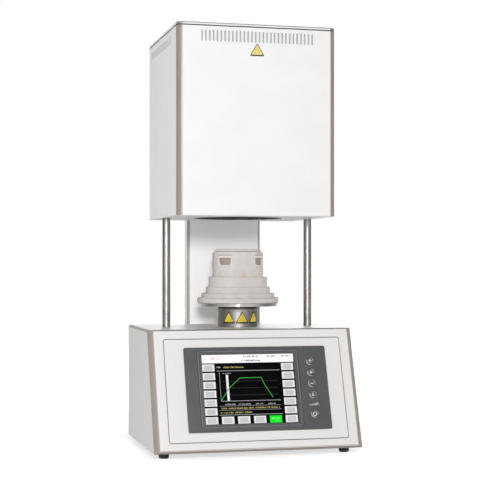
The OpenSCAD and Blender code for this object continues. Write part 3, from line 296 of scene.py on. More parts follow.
def facing_matrix(place, out, up=(0, 0, 1)):
    """A place whose Z axis points out of a surface and whose Y axis points up along it."""
    out = Vector(out).normalized()
    across = Vector(up).cross(out).normalized()
    turned = Matrix((across, out.cross(across), out)).transposed().to_4x4()
    return Matrix.Translation(place) @ turned


blackened = surface("blackened_screw", ("#3c3d3f", "#56585a"), 2, (0.3, 0.45), (0.3, 0.01),
                    metal=0.85)
low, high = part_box("feet")
foot_r, foot_screw, screw_seat = 10 * MM, 7 * MM, 3.9 * MM
form = bmesh.new()
for x in (low.x + foot_r, high.x - foot_r):
    for y in (low.y + foot_r, high.y - foot_r):
        screw(form, facing_matrix((x, y, screw_seat), (0, 0, -1), (0, 1, 0)), foot_screw)
fit("foot_screws", form, blackened, "base")


# Base housing: bent sheet steel in a fine silver-white powder coat. The cover hangs over the tray,
# the leaning front panel closes it, and screws hold the rear panel. The bends carry a painted
# brown-grey reflection, darker on the top front bend.
def overlay(finish, colour, share):
    """Lays a second colour over a finish, by a share between nought and one."""
    wires = finish.node_tree
    shader = wires.nodes["Principled BSDF"]
    laid_tint = wires.nodes.new("ShaderNodeMix")
    laid_tint.data_type = "RGBA"
    plain, second = [i for i in laid_tint.inputs if i.type == "RGBA"]
    result = next(o for o in laid_tint.outputs if o.type == "RGBA")
    second.default_value = shade(colour)
    wires.links.new(share, laid_tint.inputs["Factor"])
    wires.links.new(shader.inputs["Base Color"].links[0].from_socket, plain)
    wires.links.new(result, shader.inputs["Base Color"])


def between(finish, value, none, full):
    """A share that is nought where a value is at one limit and one where it is at the other."""
    span = finish.node_tree.nodes.new("ShaderNodeMapRange")
    span.inputs["From Min"].default_value = none
    span.inputs["From Max"].default_value = full
    finish.node_tree.links.new(value, span.inputs["Value"])
    return span.outputs["Result"]


def along(finish, direction, source="Object"):
    """How far a point of the model, or the way its surface faces, goes along a direction."""
    wires = finish.node_tree
    place = wires.nodes.new("ShaderNodeTexCoord")
    reach = wires.nodes.new("ShaderNodeVectorMath")
    reach.operation = "DOT_PRODUCT"
    reach.inputs[1].default_value = direction
    wires.links.new(place.outputs[source], reach.inputs[0])
    return reach.outputs["Value"]


def sum_up(finish, how, first, second):
    """Two values joined by a sum of arithmetic."""
    step = finish.node_tree.nodes.new("ShaderNodeMath")
    step.operation = how
    finish.node_tree.links.new(first, step.inputs[0])
    finish.node_tree.links.new(second, step.inputs[1])
    return step.outputs[0]


def painted_bend_reflection(finish, colour, flats):
    """Paints a reflection onto the bends, wherever the surface turns away from every flat face of
    the housing.
    """
    flat_cosine, bent_cosine = 0.9997, 0.992
    nearest = along(finish, flats[0], "Normal")
    for flat in flats[1:]:
        nearest = sum_up(finish, "MAXIMUM", nearest, along(finish, flat, "Normal"))
    overlay(finish, colour, between(finish, nearest, flat_cosine, bent_cosine))


base_paint = surface("base_powder_coat", ("#e6e5e3", "#eeedeb"), 0.9, (0.34, 0.44), (0.45, 0.025))
upright = ((1, 0, 0), (-1, 0, 0), (0, 1, 0), (0, -1, 0), (0, 0, 1), (0, 0, -1))
lean = math.radians(18.73)
panel_up = (0, math.sin(lean), math.cos(lean))
panel_out = (0, -math.cos(lean), math.sin(lean))
# Painted reflection: brown-grey on every bend of the housing.
painted_bend_reflection(base_paint, "#9b9189", upright + (panel_out,))
# Painted reflection: a darker brown-grey on the bend between the top and the leaning front.
front_bend = (Vector((0, 0, 1)) + Vector(panel_out)).normalized()
bend_edge, bend_middle = 0.83, 0.88
painted_front_bend_reflection = between(base_paint, along(base_paint, front_bend, "Normal"), bend_edge, bend_middle)
overlay(base_paint, "#756c66", painted_front_bend_reflection)
dress(base_paint, "base_cover", "front_fascia", "base_rear_panel")

# Control plate: the same sheet and coat, let into the front panel. The floor of the shadow gap round
# it carries painted shade, in the brown-grey of the bends' painted reflection.
plate_paint = base_paint.copy()
plate_paint.name = "control_plate_coat"
plate_face = max(v.co.dot(Vector(panel_out)) for v in nodes["control_plate"].data.vertices)
# Painted shade: the gap floor, deeper than the plate's face, turns brown-grey.
groove_shade_from, groove_shade_full = plate_face - 0.3 * MM, plate_face - 1.1 * MM
painted_groove_shade = between(plate_paint, along(plate_paint, panel_out), groove_shade_from, groove_shade_full)
overlay(plate_paint, "#857b73", painted_groove_shade)
dress(plate_paint, "control_plate")

# Display frame: satin dark grey plastic, stepped down to the screen in two steps. Five keys of
# the same plastic stand in it at the right, with a shallow dish for the finger.
frame_plastic = surface("frame_plastic", ("#48494b", "#4d4e50"), 40, (0.38, 0.46), (0.35, 0.02))
dress(frame_plastic, "display_bezel")


def ease_edges(name, width):
    """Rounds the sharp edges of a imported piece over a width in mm, as its mould does."""
    kinds = ("WELD", "DECIMATE", "BEVEL", "WEIGHTED_NORMAL")
    weld, join_flats, rounding, _ = [nodes[name].modifiers.new(kind.lower(), kind) for kind in kinds]
    weld.merge_threshold = 0.005 * MM
    join_flats.decimate_type = "DISSOLVE"
    join_flats.angle_limit = math.radians(1)
    rounding.width = width * MM
    rounding.segments = 3
    rounding.limit_method = "ANGLE"
    rounding.angle_limit = math.radians(35)


ease_edges("display_bezel", 0.5)
frame_flats = ((1, 0, 0), (-1, 0, 0), panel_out, panel_up, tuple(-c for c in panel_up))
# Painted highlight: a light grey on the frame's eased edges and steps.
painted_bend_reflection(frame_plastic, "#77787b", frame_flats)
key_plastic = surface("key_plastic", ("#505153", "#5b5c5e"), 7, (0.4, 0.55), (0.35, 0.015))
dress(key_plastic, "key_up", "key_plus", "key_minus", "key_down", "key_power")

# Screen: a sheet of dark glass over the display and its circuit board. The lit picture is
# plain: a white band, a firing curve over its grid, rows of short marks and blank buttons.
glass = surface("screen_glass", ("#040405", "#08080a"), 30, (0.08, 0.14), (6, 0.002))
glass.node_tree.nodes["Principled BSDF"].inputs["Specular IOR Level"].default_value = 0.03
dress(glass, "screen_glass")
circuit = surface("circuit_board", ("#1d4f38", "#2c6a4b"), 3, (0.35, 0.5), (1.2, 0.05))
dress(circuit, "display_module", "controller_board")


def outer_face(node, out, up):
    """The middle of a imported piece's outermost face along a direction."""
    out, up = Vector(out).normalized(), Vector(up).normalized()
    across = up.cross(out)
    points = [v.co for v in nodes[node].data.vertices]
    top = max(p.dot(out) for p in points)
    rim = [p for p in points if p.dot(out) > top - 0.02 * MM]
    spans = [[min(p.dot(a) for p in rim), max(p.dot(a) for p in rim)] for a in (across, up)]
    return across * sum(spans[0]) / 2 + up * sum(spans[1]) / 2 + out * top


screen_w, screen_h = 170.7, 126.8
screen = facing_matrix(outer_face("screen_glass", panel_out, panel_up), panel_out, panel_up)
left, right, top, bottom = -screen_w / 2, screen_w / 2, screen_h / 2, -screen_h / 2
on_glass, on_tile, on_button = 0.02, 0.08, 0.12


def tile(form, x, y, w, h, low=on_glass, high=on_tile, place=screen):
    """A thin rectangle on the screen from its lower left corner, in mm."""
    corners = [(x, y), (x + w, y), (x + w, y + h), (x, y + h)]
    slab(form, corners, low, high, place)


def slab(form, outline, low, high, place):
    """An outline in mm between two heights over a surface."""
    foot = [form.verts.new(place @ (Vector((x, y, low)) * MM)) for x, y in outline]
    head = [form.verts.new(place @ (Vector((x, y, high)) * MM)) for x, y in outline]
    form.faces.new(foot[::-1])
    form.faces.new(head)
    for i in range(len(outline)):
        j = (i + 1) % len(outline)
        form.faces.new([foot[i], foot[j], head[j], head[i]])


def stroke(form, points, width, low=on_glass, high=on_tile, place=screen):
    """A line of even width through points, in mm, with mitred turns."""
    half = width / 2
    left_side, right_side = [], []
    for i, point in enumerate(points):
        here = Vector(point)
        before = (here - Vector(points[i - 1])).normalized() if i else None
        after = (Vector(points[i + 1]) - here).normalized() if i < len(points) - 1 else None
        run = ((before or after) + (after or before)).normalized()
        side = Vector((-run.y, run.x))
        reach = half / max(0.3, run.dot(before or after))
        left_side.append(tuple(here + side * reach))
        right_side.append(tuple(here - side * reach))
    slab(form, right_side + left_side[::-1], low, high, place)


def marks(form, x, y, length, height, seed, low):
    """A row of short upright bars of mixed height, with some of them left out."""
    pick = random.Random(seed)
    left_out, bar_t = 0.17, 0.04
    here = x
    while here < x + length:
        wide = pick.uniform(0.5, 1.1)
        if pick.random() > left_out:
            tall = height * pick.choice((1, 0.7, 0.7, 0.85))
            tile(form, here, y, wide, tall, low, low + bar_t)
        here += wide + pick.uniform(0.35, 0.6)


def show(name, form, colours):
    """A part of the picture: light in one colour, a little uneven from cell to cell."""
    made = surface(name, ("#060607", "#0b0b0c"), 1.5, (0.15, 0.25), (0.3, 0.002))
    wires = made.node_tree
    shader = wires.nodes["Principled BSDF"]
    glow_tint = wires.nodes.new("ShaderNodeValToRGB")
    glow_tint.color_ramp.elements[0].color = shade(colours[0])
    glow_tint.color_ramp.elements[1].color = shade(colours[1])
    wires.links.new(wires.nodes["drift"].outputs["Fac"], glow_tint.inputs["Fac"])
    wires.links.new(glow_tint.outputs["Color"], shader.inputs["Emission Color"])
    shader.inputs["Emission Strength"].default_value = 1
    shader.inputs["Specular IOR Level"].default_value = 0.03
    fit(name, form, made, "base")


def show_rows(name, colours, rows):
    """Rows of marks in one colour. Each row has its left end, its foot, its length, the height
    of its marks, the seed of their pattern and the level they lie on."""
    form = bmesh.new()
    for x, y, length, height, seed, level in rows:
        marks(form, x, y, length, height, seed, level)
    show(name, form, colours)


band_h = 15.6
form = bmesh.new()
tile(form, left + 0.3, top - band_h, screen_w - 0.9, band_h - 0.3)
show("screen_band", form, ("#fbfbfb", "#ffffff"))

button_w, button_h, button_rise, under_band = 22.4, 13.0, 15.95, 1.9
margin_left, margin_right = 0.1, 2
face_inset, face_foot, face_h = 3.4, 1.6, button_h - 4
button_rows = [top - band_h - under_band - button_h - i * button_rise for i in range(7)]
button_step = (screen_w - (margin_left + margin_right) - button_w) / 5
left_column, right_column = left + margin_left, right - margin_right - button_w
places = [(left_column, y) for y in button_rows] + [(right_column, y) for y in button_rows]
places += [(left_column + button_step * i, button_rows[-1]) for i in (1, 2, 3)]
rims, faces = bmesh.new(), bmesh.new()
for x, y in places:
    tile(rims, x, y, button_w, button_h)
    tile(faces, x + face_inset, y + face_foot, button_w - 2 * face_inset, face_h,
         on_tile, on_button)
show("button_rims", rims, ("#e3e2e3", "#eeedee"))
show("button_faces", faces, ("#c4c3c6", "#cecdd0"))
start_x, start_y = left_column + button_step * 4, button_rows[-1]
form = bmesh.new()
tile(form, start_x, start_y, button_w, button_h)
show("start_button", form, ("#00ee1a", "#08fa28"))
show_rows("start_marks", ("#8cf79a", "#b4fbbd"), (
    (start_x + 3.6, start_y + 7.2, 14.6, 2.2, 3, on_tile),
    (start_x + 8, start_y + 2.6, 7, 2.2, 4, on_tile)))

first_row, second_row, red_row = bottom + 121.6, bottom + 113.8, bottom + 118
show_rows("band_marks", ("#19191b", "#2f3033"), (
    (left + 77, first_row, 27, 2.8, 11, on_tile),
    (left + 72.5, second_row, 35, 3.0, 12, on_tile),
    (left + 120.5, first_row, 15, 2.4, 13, on_tile),
    (left + 147.5, first_row, 16.5, 2.4, 14, on_tile)))
fifth_row, last_row = button_rows[4] + 5.2, button_rows[6] + 5.2
show_rows("faint_marks", ("#e2e1e3", "#f0eff1"), (
    (left + 156, bottom + 115.8, 9, 1.8, 15, on_tile),
    (left + 5.2, fifth_row, 12, 1.6, 51, on_button),
    (left + 5.5, last_row, 12, 1.6, 52, on_button),
    (right - 19, fifth_row, 12, 1.6, 53, on_button),
    (right - 19, last_row, 12, 1.6, 54, on_button)))
show_rows("red_marks", ("#e59a94", "#eeb4ae"), (
    (left + 4.5, red_row, 3.8, 3.4, 21, on_tile),
    (left + 15.7, red_row, 8, 3.4, 22, on_tile),
    (left + 28, red_row, 4.6, 3.4, 23, on_tile)))

axis_x, axis_y, axis_top, axis_end = left + 30.7, bottom + 41.6, bottom + 92.5, right - 30
rule_w, fine_rule_w, grid_w = 1.2, 0.7, 0.8
arrow = [(axis_x - 1.4, axis_top), (axis_x - 0.1, axis_top - 1.6), (axis_x + 1.3, axis_top),
         (axis_x - 0.1, axis_top + 1.7)]
form = bmesh.new()
tile(form, left + 26, bottom + 96.2, 116.5, rule_w)
tile(form, axis_x - 0.5, axis_y, 0.9, axis_top - axis_y)
slab(form, arrow, on_glass, on_tile, screen)
tile(form, axis_x, axis_y - 0.6, axis_end - axis_x, rule_w)
tile(form, left + 26, bottom + 16.0, 116, rule_w)
for y in (24.8, 32.4):
    tile(form, left + 26.5, bottom + y, 113, fine_rule_w)
show("screen_rules", form, ("#8d8c8e", "#a3a2a4"))
form = bmesh.new()
for y in (52.0, 64.6, 77.1):
    tile(form, axis_x + 3, bottom + y, 103, grid_w)
show("screen_grid", form, ("#2d2d2f", "#3c3c3e"))
under_axis = bottom + 34.6
show_rows("pale_marks", ("#b5b4b0", "#cfcec9"), (
    (axis_x + 3.4, bottom + 91.3, 18, 2, 31, on_glass),
    (left + 26, bottom + 102.2, 9, 3, 32, on_glass),
    (left + 37.4, under_axis, 19, 2.4, 33, on_glass),
    (left + 62, under_axis, 22, 2.4, 34, on_glass),
    (left + 94, under_axis, 13, 2.4, 35, on_glass),
    (left + 116, under_axis, 14, 2.4, 36, on_glass)))
show_rows("yellow_marks", ("#a9a160", "#c6be7c"), (
    (left + 39, bottom + 101.8, 36.5, 3.2, 41, on_glass),
    (left + 28.5, bottom + 27.2, 108, 2.9, 42, on_glass),
    (left + 28, bottom + 19.4, 58, 2.9, 43, on_glass)))
level_x, level_w, level_h = left + 42.3, 4.1, 47.4
form = bmesh.new()
tile(form, level_x, axis_y + 0.6, level_w, level_h)
show("level_bar", form, ("#efefef", "#fafafa"))
heating = [(axis_x, axis_y + 0.4), (left + 45.3, bottom + 63.5), (left + 68.0, bottom + 83.4)]
cooling = [(left + 107.3, bottom + 83.6), (left + 112.6, bottom + 70.1),
           (left + 126.3, bottom + 46.9)]
curve_w, curve_top = 1.4, 0.14
form = bmesh.new()
stroke(form, heating + cooling, curve_w, on_tile, curve_top)
show("firing_curve", form, ("#37963e", "#48a850"))


# Lines of the display frame: a slim light bead along the inner step is a painted highlight on its
# edge, and a dark strip along the outer one is painted shade in the step. Both lie in the frame's
# recess.
def ring_path(half_w, half_h, radius, parts=6):
    """A closed rectangle with round corners about the middle of the screen, in mm."""
    points = []
    for quarter, (x, y) in enumerate(((1, 1), (-1, 1), (-1, -1), (1, -1))):
        for i in range(parts + 1):
            turn = math.radians(90 * (quarter + i / parts))
            points.append((x * (half_w - radius) + radius * math.cos(turn),
                           y * (half_h - radius) + radius * math.sin(turn)))
    return points


def ring(form, half_w, half_h, radius, width, low, high):
    """A flat ring of even width inside a rounded rectangle, between two heights over the screen."""
    rows = []
    for inset, level in ((0, low), (0, high), (width, high), (width, low)):
        path = ring_path(half_w - inset, half_h - inset, radius - inset)
        rows.append([form.verts.new(screen @ (Vector((x, y, level)) * MM)) for x, y in path])
    for row, after in zip(rows, rows[1:] + rows[:1]):
        for i in range(len(row)):
            j = (i + 1) % len(row)
            form.faces.new([row[i], row[j], after[j], after[i]])


frame_face = outer_face("display_bezel", panel_out, panel_up)
frame_top = (frame_face - screen.translation).dot(Vector(panel_out)) / MM
recess = frame_top - 0.7
line_foot, line_corner = recess - 0.2, 2.6
bead_w, bead_top = 0.9, recess + 0.12
shade_line_w, shade_line_top = 1.1, recess + 0.05
highlight_bead_plastic = surface("highlight_bead_plastic", ("#7e7f82", "#8b8c8f"), 9, (0.3, 0.4), (0.3, 0.006))
shade_line_strip = surface("shade_line_strip", ("#1f2022", "#2b2c2e"), 9, (0.6, 0.75), (0.3, 0.01))
form = bmesh.new()
ring(form, screen_w / 2 + 7, screen_h / 2 + 6.2, line_corner, bead_w, line_foot, bead_top)
fit("frame_highlight_bead", form, highlight_bead_plastic, "base")
form = bmesh.new()
ring(form, screen_w / 2 + 8.9, screen_h / 2 + 6.9, line_corner, shade_line_w, line_foot, shade_line_top)
fit("frame_shade_line", form, shade_line_strip, "base")


# Key signs and rims: each key has a pale printed sign and a thin raised rim, with a painted
# highlight on its lower left side, and a small row of printed bars stands above the lowest key. The
# signs and bars are raised ink.
def arc(middle, radius, start, end, count=20):
    """Points along an arc, in degrees from the right, anticlockwise."""
    turns = [math.radians(start + (end - start) * i / count) for i in range(count + 1)]
    return [(middle[0] + radius * math.cos(t), middle[1] + radius * math.sin(t)) for t in turns]


ink = surface("key_ink", ("#c9cacc", "#e4e5e6"), 1.2, (0.4, 0.5), (0.2, 0.004))
ink_t = 0.1
rim_plastic = surface("key_rim_plastic", ("#4a4b4d", "#545557"), 5, (0.3, 0.4), (0.3, 0.004))
# Painted highlight: the rim's lower left side turns light grey, where light would catch it.
highlight_side = (-0.8, -0.6 * panel_up[1], -0.6 * panel_up[2])
laid_tint = between(rim_plastic, along(rim_plastic, highlight_side, "Normal"), 0.08, 0.3)
overlay(rim_plastic, "#c3c4c6", laid_tint)

key_signs = {
    "key_up": (1.2, [(-2.6, 0.2), (0, 2.9), (2.6, 0.2)], [(0, -3), (0, 2.2)]),
    "key_plus": (1.5, [(-2.8, 0), (2.8, 0)], [(0, 0.75), (0, 2.8)], [(0, -2.8), (0, -0.75)]),
    "key_minus": (1.5, [(-2.8, 0), (2.8, 0)]),
    "key_down": (1.2, [(-2.6, -0.2), (0, -2.9), (2.6, -0.2)], [(0, 3), (0, -2.2)]),
    "key_power": (1.3, arc((0, 0), 3.3, 125, 415, 28), [(0, 1.2), (0, 4.3)]),
}
key_dish = 0.6 * MM
key_r = 7.2
rim_out, rim_in, rim_foot = key_r - 0.02, key_r - 1.3, -0.3
rim_profile = [(rim_out, rim_foot), (rim_out, -0.05), (key_r - 1.0, 0.36), (key_r - 1.2, 0.3),
               (rim_in, rim_foot), (rim_out, rim_foot)]
for key, (width, *lines) in key_signs.items():
    key_face = outer_face(key, panel_out, panel_up)
    dish_floor = facing_matrix(key_face - Vector(panel_out) * key_dish, panel_out, panel_up)
    form = bmesh.new()
    for line in lines:
        stroke(form, line, width, 0, ink_t, dish_floor)
    fit(key + "_sign", form, ink, key)
    form = bmesh.new()
    lathe(form, [(r * MM, z * MM, False) for r, z in rim_profile],
          facing_matrix(key_face, panel_out, panel_up), 48, closed=False)
    bmesh.ops.remove_doubles(form, verts=form.verts, dist=0.001 * MM)
    fit(key + "_rim", form, rim_plastic, key, 30)

power_face = facing_matrix(outer_face("key_power", panel_out, panel_up), panel_out, panel_up)
drop = (power_face.translation - frame_face).dot(Vector(panel_out)) / MM
bars_x, bars_y, bar_step, bar_w, bar_h, bar_growth = -9, 15.4, 2.6, 1.4, 1.6, 0.6
form = bmesh.new()
for i in range(7):
    tile(form, bars_x + bar_step * i, bars_y, bar_w, bar_h + bar_growth * i,
         -drop, ink_t - drop, power_face)
fit("level_marks", form, ink, "base")

# Rear connections: moulded black plastic mains inlet, rocker switch, fuse holders and fan, all
# clipped or screwed to the rear panel. The fan's guard is bright wire under four long screws.
black_plastic = surface("black_plastic", ("#1d1e1f", "#29292b"), 6, (0.38, 0.55), (0.5, 0.02))
dress(black_plastic, "mains_inlet", "switch_frame", "switch_rocker", "fuse_holders",
      "fan_frame", "fan_rotor")
bright_wire = surface("bright_wire", ("#b4b5b6", "#cfd0d1"), 4, (0.14, 0.24), (0.4, 0.01),
                      metal=1.0)
dress(bright_wire, "fan_guard")


def box_middle(node):
    """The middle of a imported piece's box."""
    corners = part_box(node)
    return (corners[0] + corners[1]) / 2


guard_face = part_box("fan_guard")[1].y
fan_mid = box_middle("fan_guard")
hole_offset, fan_screw = 35.75 * MM, 7.4 * MM
form = bmesh.new()
for x in (-hole_offset, hole_offset):
    for z in (-hole_offset, hole_offset):
        spot = (fan_mid.x + x, guard_face, fan_mid.z + z)
        screw(form, facing_matrix(spot, (0, 1, 0)), fan_screw)
fit("fan_screws", form, blackened, "base")

inlet_mid = box_middle("mains_inlet")
inlet_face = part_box("mains_inlet")[1].y
hole_offset, inlet_screw, countersink = 20 * MM, 5.6 * MM, 0.6 * MM
form = bmesh.new()
for x in (-hole_offset, hole_offset):
    spot = (inlet_mid.x + x, inlet_face - countersink, inlet_mid.z)
    screw(form, facing_matrix(spot, (0, 1, 0)), inlet_screw)
fit("inlet_screws", form, blackened, "base")

# Inlet pins: three flat nickel-plated blades with eased tips, moulded into the inlet's floor.
# The middle one, for the earth, stands higher than the two beside it.
nickel = surface("nickel_plate", ("#b8b4ab", "#cbc7be"), 3, (0.18, 0.28), (0.3, 0.004), metal=1.0)
pin_places = ((-7, -1.5), (7, -1.5), (0, 3.5))
pin_half_w, pin_half_h = 1.1, 2.1
pin_levels = ((-17.3, 0), (-2.6, 0), (-1.6, 0.2))
form = bmesh.new()
for x, z in pin_places:
    seat = facing_matrix((inlet_mid.x - x * MM, inlet_face, inlet_mid.z + z * MM), (0, 1, 0))
    rows = []
    for level, inset in pin_levels:
        half_w, half_h = pin_half_w - inset, pin_half_h - inset
        corners = ((-half_w, -half_h), (half_w, -half_h), (half_w, half_h), (-half_w, half_h))
        rows.append([form.verts.new(seat @ (Vector((*corner, level)) * MM)) for corner in corners])
    for under, over in zip(rows, rows[1:]):
        for i in range(4):
            form.faces.new([under[i], under[(i + 1) % 4], over[(i + 1) % 4], over[i]])
    form.faces.new(rows[0][::-1])
    form.faces.new(rows[-1])
fit("inlet_pins", form, nickel, "base")


# Switch signs: a bar and a ring in raised white ink, printed one on each slope of the rocker,
# so that they tilt with it.
def slope_of(node, out, want):
    """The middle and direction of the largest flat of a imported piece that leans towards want."""
    areas, spots = {}, {}
    for face in nodes[node].data.polygons:
        if face.normal.dot(Vector(out)) > 0.9 and face.normal.dot(Vector(want)) > 0.05:
            key = tuple(round(c, 2) for c in face.normal)
            areas[key] = areas.get(key, 0) + face.area
            spots[key] = spots.get(key, Vector()) + face.center * face.area
    best = max(areas, key=areas.get)
    return spots[best] / areas[best], Vector(best).normalized()


white_ink = surface("white_ink", ("#d9dadb", "#e9eaeb"), 2, (0.4, 0.5), (0.2, 0.003))
sign_t, ring_r = 0.08, 1.8
bar_sign = [[(0, -2), (0, 2)]]
ring_sign = [arc((0, 0), ring_r, 0, 180, 12), arc((0, 0), ring_r, 180, 360, 12)]
form = bmesh.new()
for leaning, lines, width in (((0, 0, -1), bar_sign, 0.8), ((0, 0, 1), ring_sign, 0.7)):
    spot, out = slope_of("switch_rocker", (0, 1, 0), leaning)
    for line in lines:
        stroke(form, line, width, 0, sign_t, facing_matrix(spot, out))
fit("switch_signs", form, white_ink, "switch_rocker")

# Rear screws: zinc-plated button heads that hold the rear panel, the spine's cover and the head's
# rear panel. They are set in from the edges of the sheets.
sheet_screw = 6.4 * MM
form = bmesh.new()
for sheet, inset, shares in (("base_rear_panel", 9 * MM, (0.05, 0.5, 0.95)),
                             ("spine_cover", 7 * MM, (0.04, 0.35, 0.66, 0.97)),
                             ("head_shell", 20 * MM, (0.08, 0.36, 0.64, 0.92))):
    low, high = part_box(sheet)
    for x in (low.x + inset, high.x - inset):
        for share in shares:
            spot = (x, high.y, low.z + share * (high.z - low.z))
            screw(form, facing_matrix(spot, (0, 1, 0)), sheet_screw)
fit("rear_screws", form, zinc, "base")

# Columns, guide rods and lift screw: ground and polished steel, with the faint rings that the
# grinding wheel leaves. The columns stand in sockets in the tray and carry the head on studs.
ground_steel = surface("ground_steel", ("#a09d9a", "#aca9a6"), 30, (0.28, 0.33), (0.35, 0.0008),
                       metal=1.0, stretch=(0.2, 0.2, 1))
dress(ground_steel, "column_left", "column_right", "guide_rods", "lead_screw")

# Drive: a stepper motor turns the lift screw through a toothed belt. The pulleys, carriage and
# bridge are machined aluminium, the nut and bushes bronze, the motor and transformer iron.
machined = surface("machined_aluminium", ("#a7a9ab", "#bfc1c3"), 12, (0.3, 0.42), (0.3, 0.01),
                   metal=1.0, stretch=(0.1, 1, 1))
dress(machined, "motor_pulley", "screw_pulley", "lift_carriage", "lift_bridge", "element_clamps")
bronze = surface("bearing_bronze", ("#a5813f", "#c09b57"), 8, (0.25, 0.38), (0.3, 0.008),
                 metal=1.0)
dress(bronze, "lift_nut", "guide_bushes", "tube_bush")
iron = surface("varnished_iron", ("#2f3033", "#45464a"), 5, (0.35, 0.5), (0.5, 0.02), metal=0.5,
               stretch=(1, 1, 4))
dress(iron, "transformer", "lift_motor")

# Lift tube and flange: turned steel, the tube left as it comes off the lathe, with fine rings round
# it and a painted shadow band at its top, under the flange. The flange over it is turned finer, and
# its hub stands in the tube.
lathe_rings = (0.02, 0.02, 1)
turned_steel = surface("turned_steel", ("#94918e", "#a19e9b"), 20, (0.44, 0.52), (0.5, 0.012),
                       metal=1.0, stretch=lathe_rings)
hub_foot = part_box("lift_flange")[0].z
# Painted shadow: a dark band round the tube just under the flange.
shadow_from, shadow_full = hub_foot + 7.1 * MM, hub_foot + 7.5 * MM
painted_flange_shadow = between(turned_steel, along(turned_steel, (0, 0, 1)), shadow_from, shadow_full)
overlay(turned_steel, "#3a3735", painted_flange_shadow)
dress(turned_steel, "lift_tube")
flange_steel = surface("flange_steel", ("#d4d0cc", "#dfdbd7"), 20, (0.1, 0.16), (0.5, 0.006),
                       metal=1.0, stretch=lathe_rings)
dress(flange_steel, "lift_flange")

# Stepped plug and crucible lid: pressed and fired ceramic, matt and faintly mottled, with pores. The
# plug stands on the flange, and a thin brown band of painted shade lies along its lower edge. The
# lid lies loose on the crucible.
fired = surface("fired_ceramic", ("#cbc4c0", "#d2ccc8"), 13, (0.75, 0.92), (0.8, 0.03))
dress(fired, "crucible_lid")
plug_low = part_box("stepped_plug")[0].z
plug_ceramic = fired.copy()
plug_ceramic.name = "plug_ceramic"
# Painted shade: a brown band at the plug's lower edge.
brown_from, brown_full = plug_low + 1.5 * MM, plug_low + 0.9 * MM
painted_plug_edge_shade = between(plug_ceramic, along(plug_ceramic, (0, 0, 1)), brown_from, brown_full)
overlay(plug_ceramic, "#a5957c", painted_plug_edge_shade)
dress(plug_ceramic, "stepped_plug")

# Crucible: the same ceramic, with four flat recesses pressed into its wall and a deeper grip pocket
# in each. The pockets' floors carry painted brown shade, and the recesses' floors are paler with
# painted light, with a painted shadow line under their upper edge.
crucible_ceramic = fired.copy()
crucible_ceramic.name = "crucible_ceramic"
crucible_mid = box_middle("crucible")
wires = crucible_ceramic.node_tree
place = wires.nodes.new("ShaderNodeTexCoord")
off_axis = wires.nodes.new("ShaderNodeVectorMath")
off_axis.operation = "SUBTRACT"
off_axis.inputs[1].default_value = crucible_mid
level_way = wires.nodes.new("ShaderNodeVectorMath")
level_way.operation = "MULTIPLY"
level_way.inputs[1].default_value = (1, 1, 0)
from_axis = wires.nodes.new("ShaderNodeVectorMath")
from_axis.operation = "LENGTH"
wires.links.new(place.outputs["Object"], off_axis.inputs[0])
wires.links.new(off_axis.outputs["Vector"], level_way.inputs[0])
wires.links.new(level_way.outputs["Vector"], from_axis.inputs[0])
# Painted shade: the floors of the grip pockets turn brown-grey.
inside_wall, outside_bore = (45.0 * MM, 44.2 * MM), (41.3 * MM, 41.6 * MM)
painted_pocket_shade = sum_up(crucible_ceramic, "MULTIPLY",
                      between(crucible_ceramic, from_axis.outputs["Value"], *inside_wall),
                      between(crucible_ceramic, from_axis.outputs["Value"], *outside_bore))
overlay(crucible_ceramic, "#a0958c", painted_pocket_shade)


def reach_both_ways(direction):
    """How far a point of the crucible lies from its axis along a direction, to either side."""
    reach = wires.nodes.new("ShaderNodeVectorMath")
    reach.operation = "DOT_PRODUCT"
    reach.inputs[1].default_value = direction
    wires.links.new(off_axis.outputs["Vector"], reach.inputs[0])
    size = wires.nodes.new("ShaderNodeMath")
    size.operation = "ABSOLUTE"
    wires.links.new(reach.outputs["Value"], size.inputs[0])
    return size.outputs[0]


crucible_low, crucible_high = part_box("crucible")
recess_plane = (crucible_high.x - crucible_low.x) / 2 - 2 * MM
recess_low = crucible_low.z + 19.1 * MM
recess_high = crucible_low.z + 41.3 * MM
near, far, edge = 0.15 * MM, 0.35 * MM, 0.1 * MM
diagonal = math.sqrt(0.5)
corner_reach = sum_up(crucible_ceramic, "MAXIMUM", reach_both_ways((diagonal, diagonal, 0)),
                      reach_both_ways((diagonal, -diagonal, 0)))
height = along(crucible_ceramic, (0, 0, 1))
# Painted light: the recess floors are paler than the wall.
recess_floor = between(crucible_ceramic, corner_reach, recess_plane + far, recess_plane + near)
for value, none, full in ((corner_reach, recess_plane - far, recess_plane - near),
                          (height, recess_low - edge, recess_low + edge),
                          (height, recess_high + edge, recess_high - edge)):
    limit = between(crucible_ceramic, value, none, full)
    recess_floor = sum_up(crucible_ceramic, "MULTIPLY", recess_floor, limit)
overlay(crucible_ceramic, "#d9d3cf", recess_floor)
# Painted shadow: a dark line along the top of each recess floor.
painted_recess_shadow_line = between(crucible_ceramic, height, recess_high - 1.3 * MM, recess_high - 1.0 * MM)
overlay(crucible_ceramic, "#7b716b", sum_up(crucible_ceramic, "MULTIPLY", recess_floor, painted_recess_shadow_line))
dress(crucible_ceramic, "crucible")

# Crucible support: a disc of coarser ochre ceramic under the crucible. Its six tabs show in the
# notches round the crucible's foot.
ochre = surface("ochre_ceramic", ("#dbc29a", "#e6d2b0"), 8, (0.7, 0.88), (0.7, 0.05))
dress(ochre, "crucible_support")

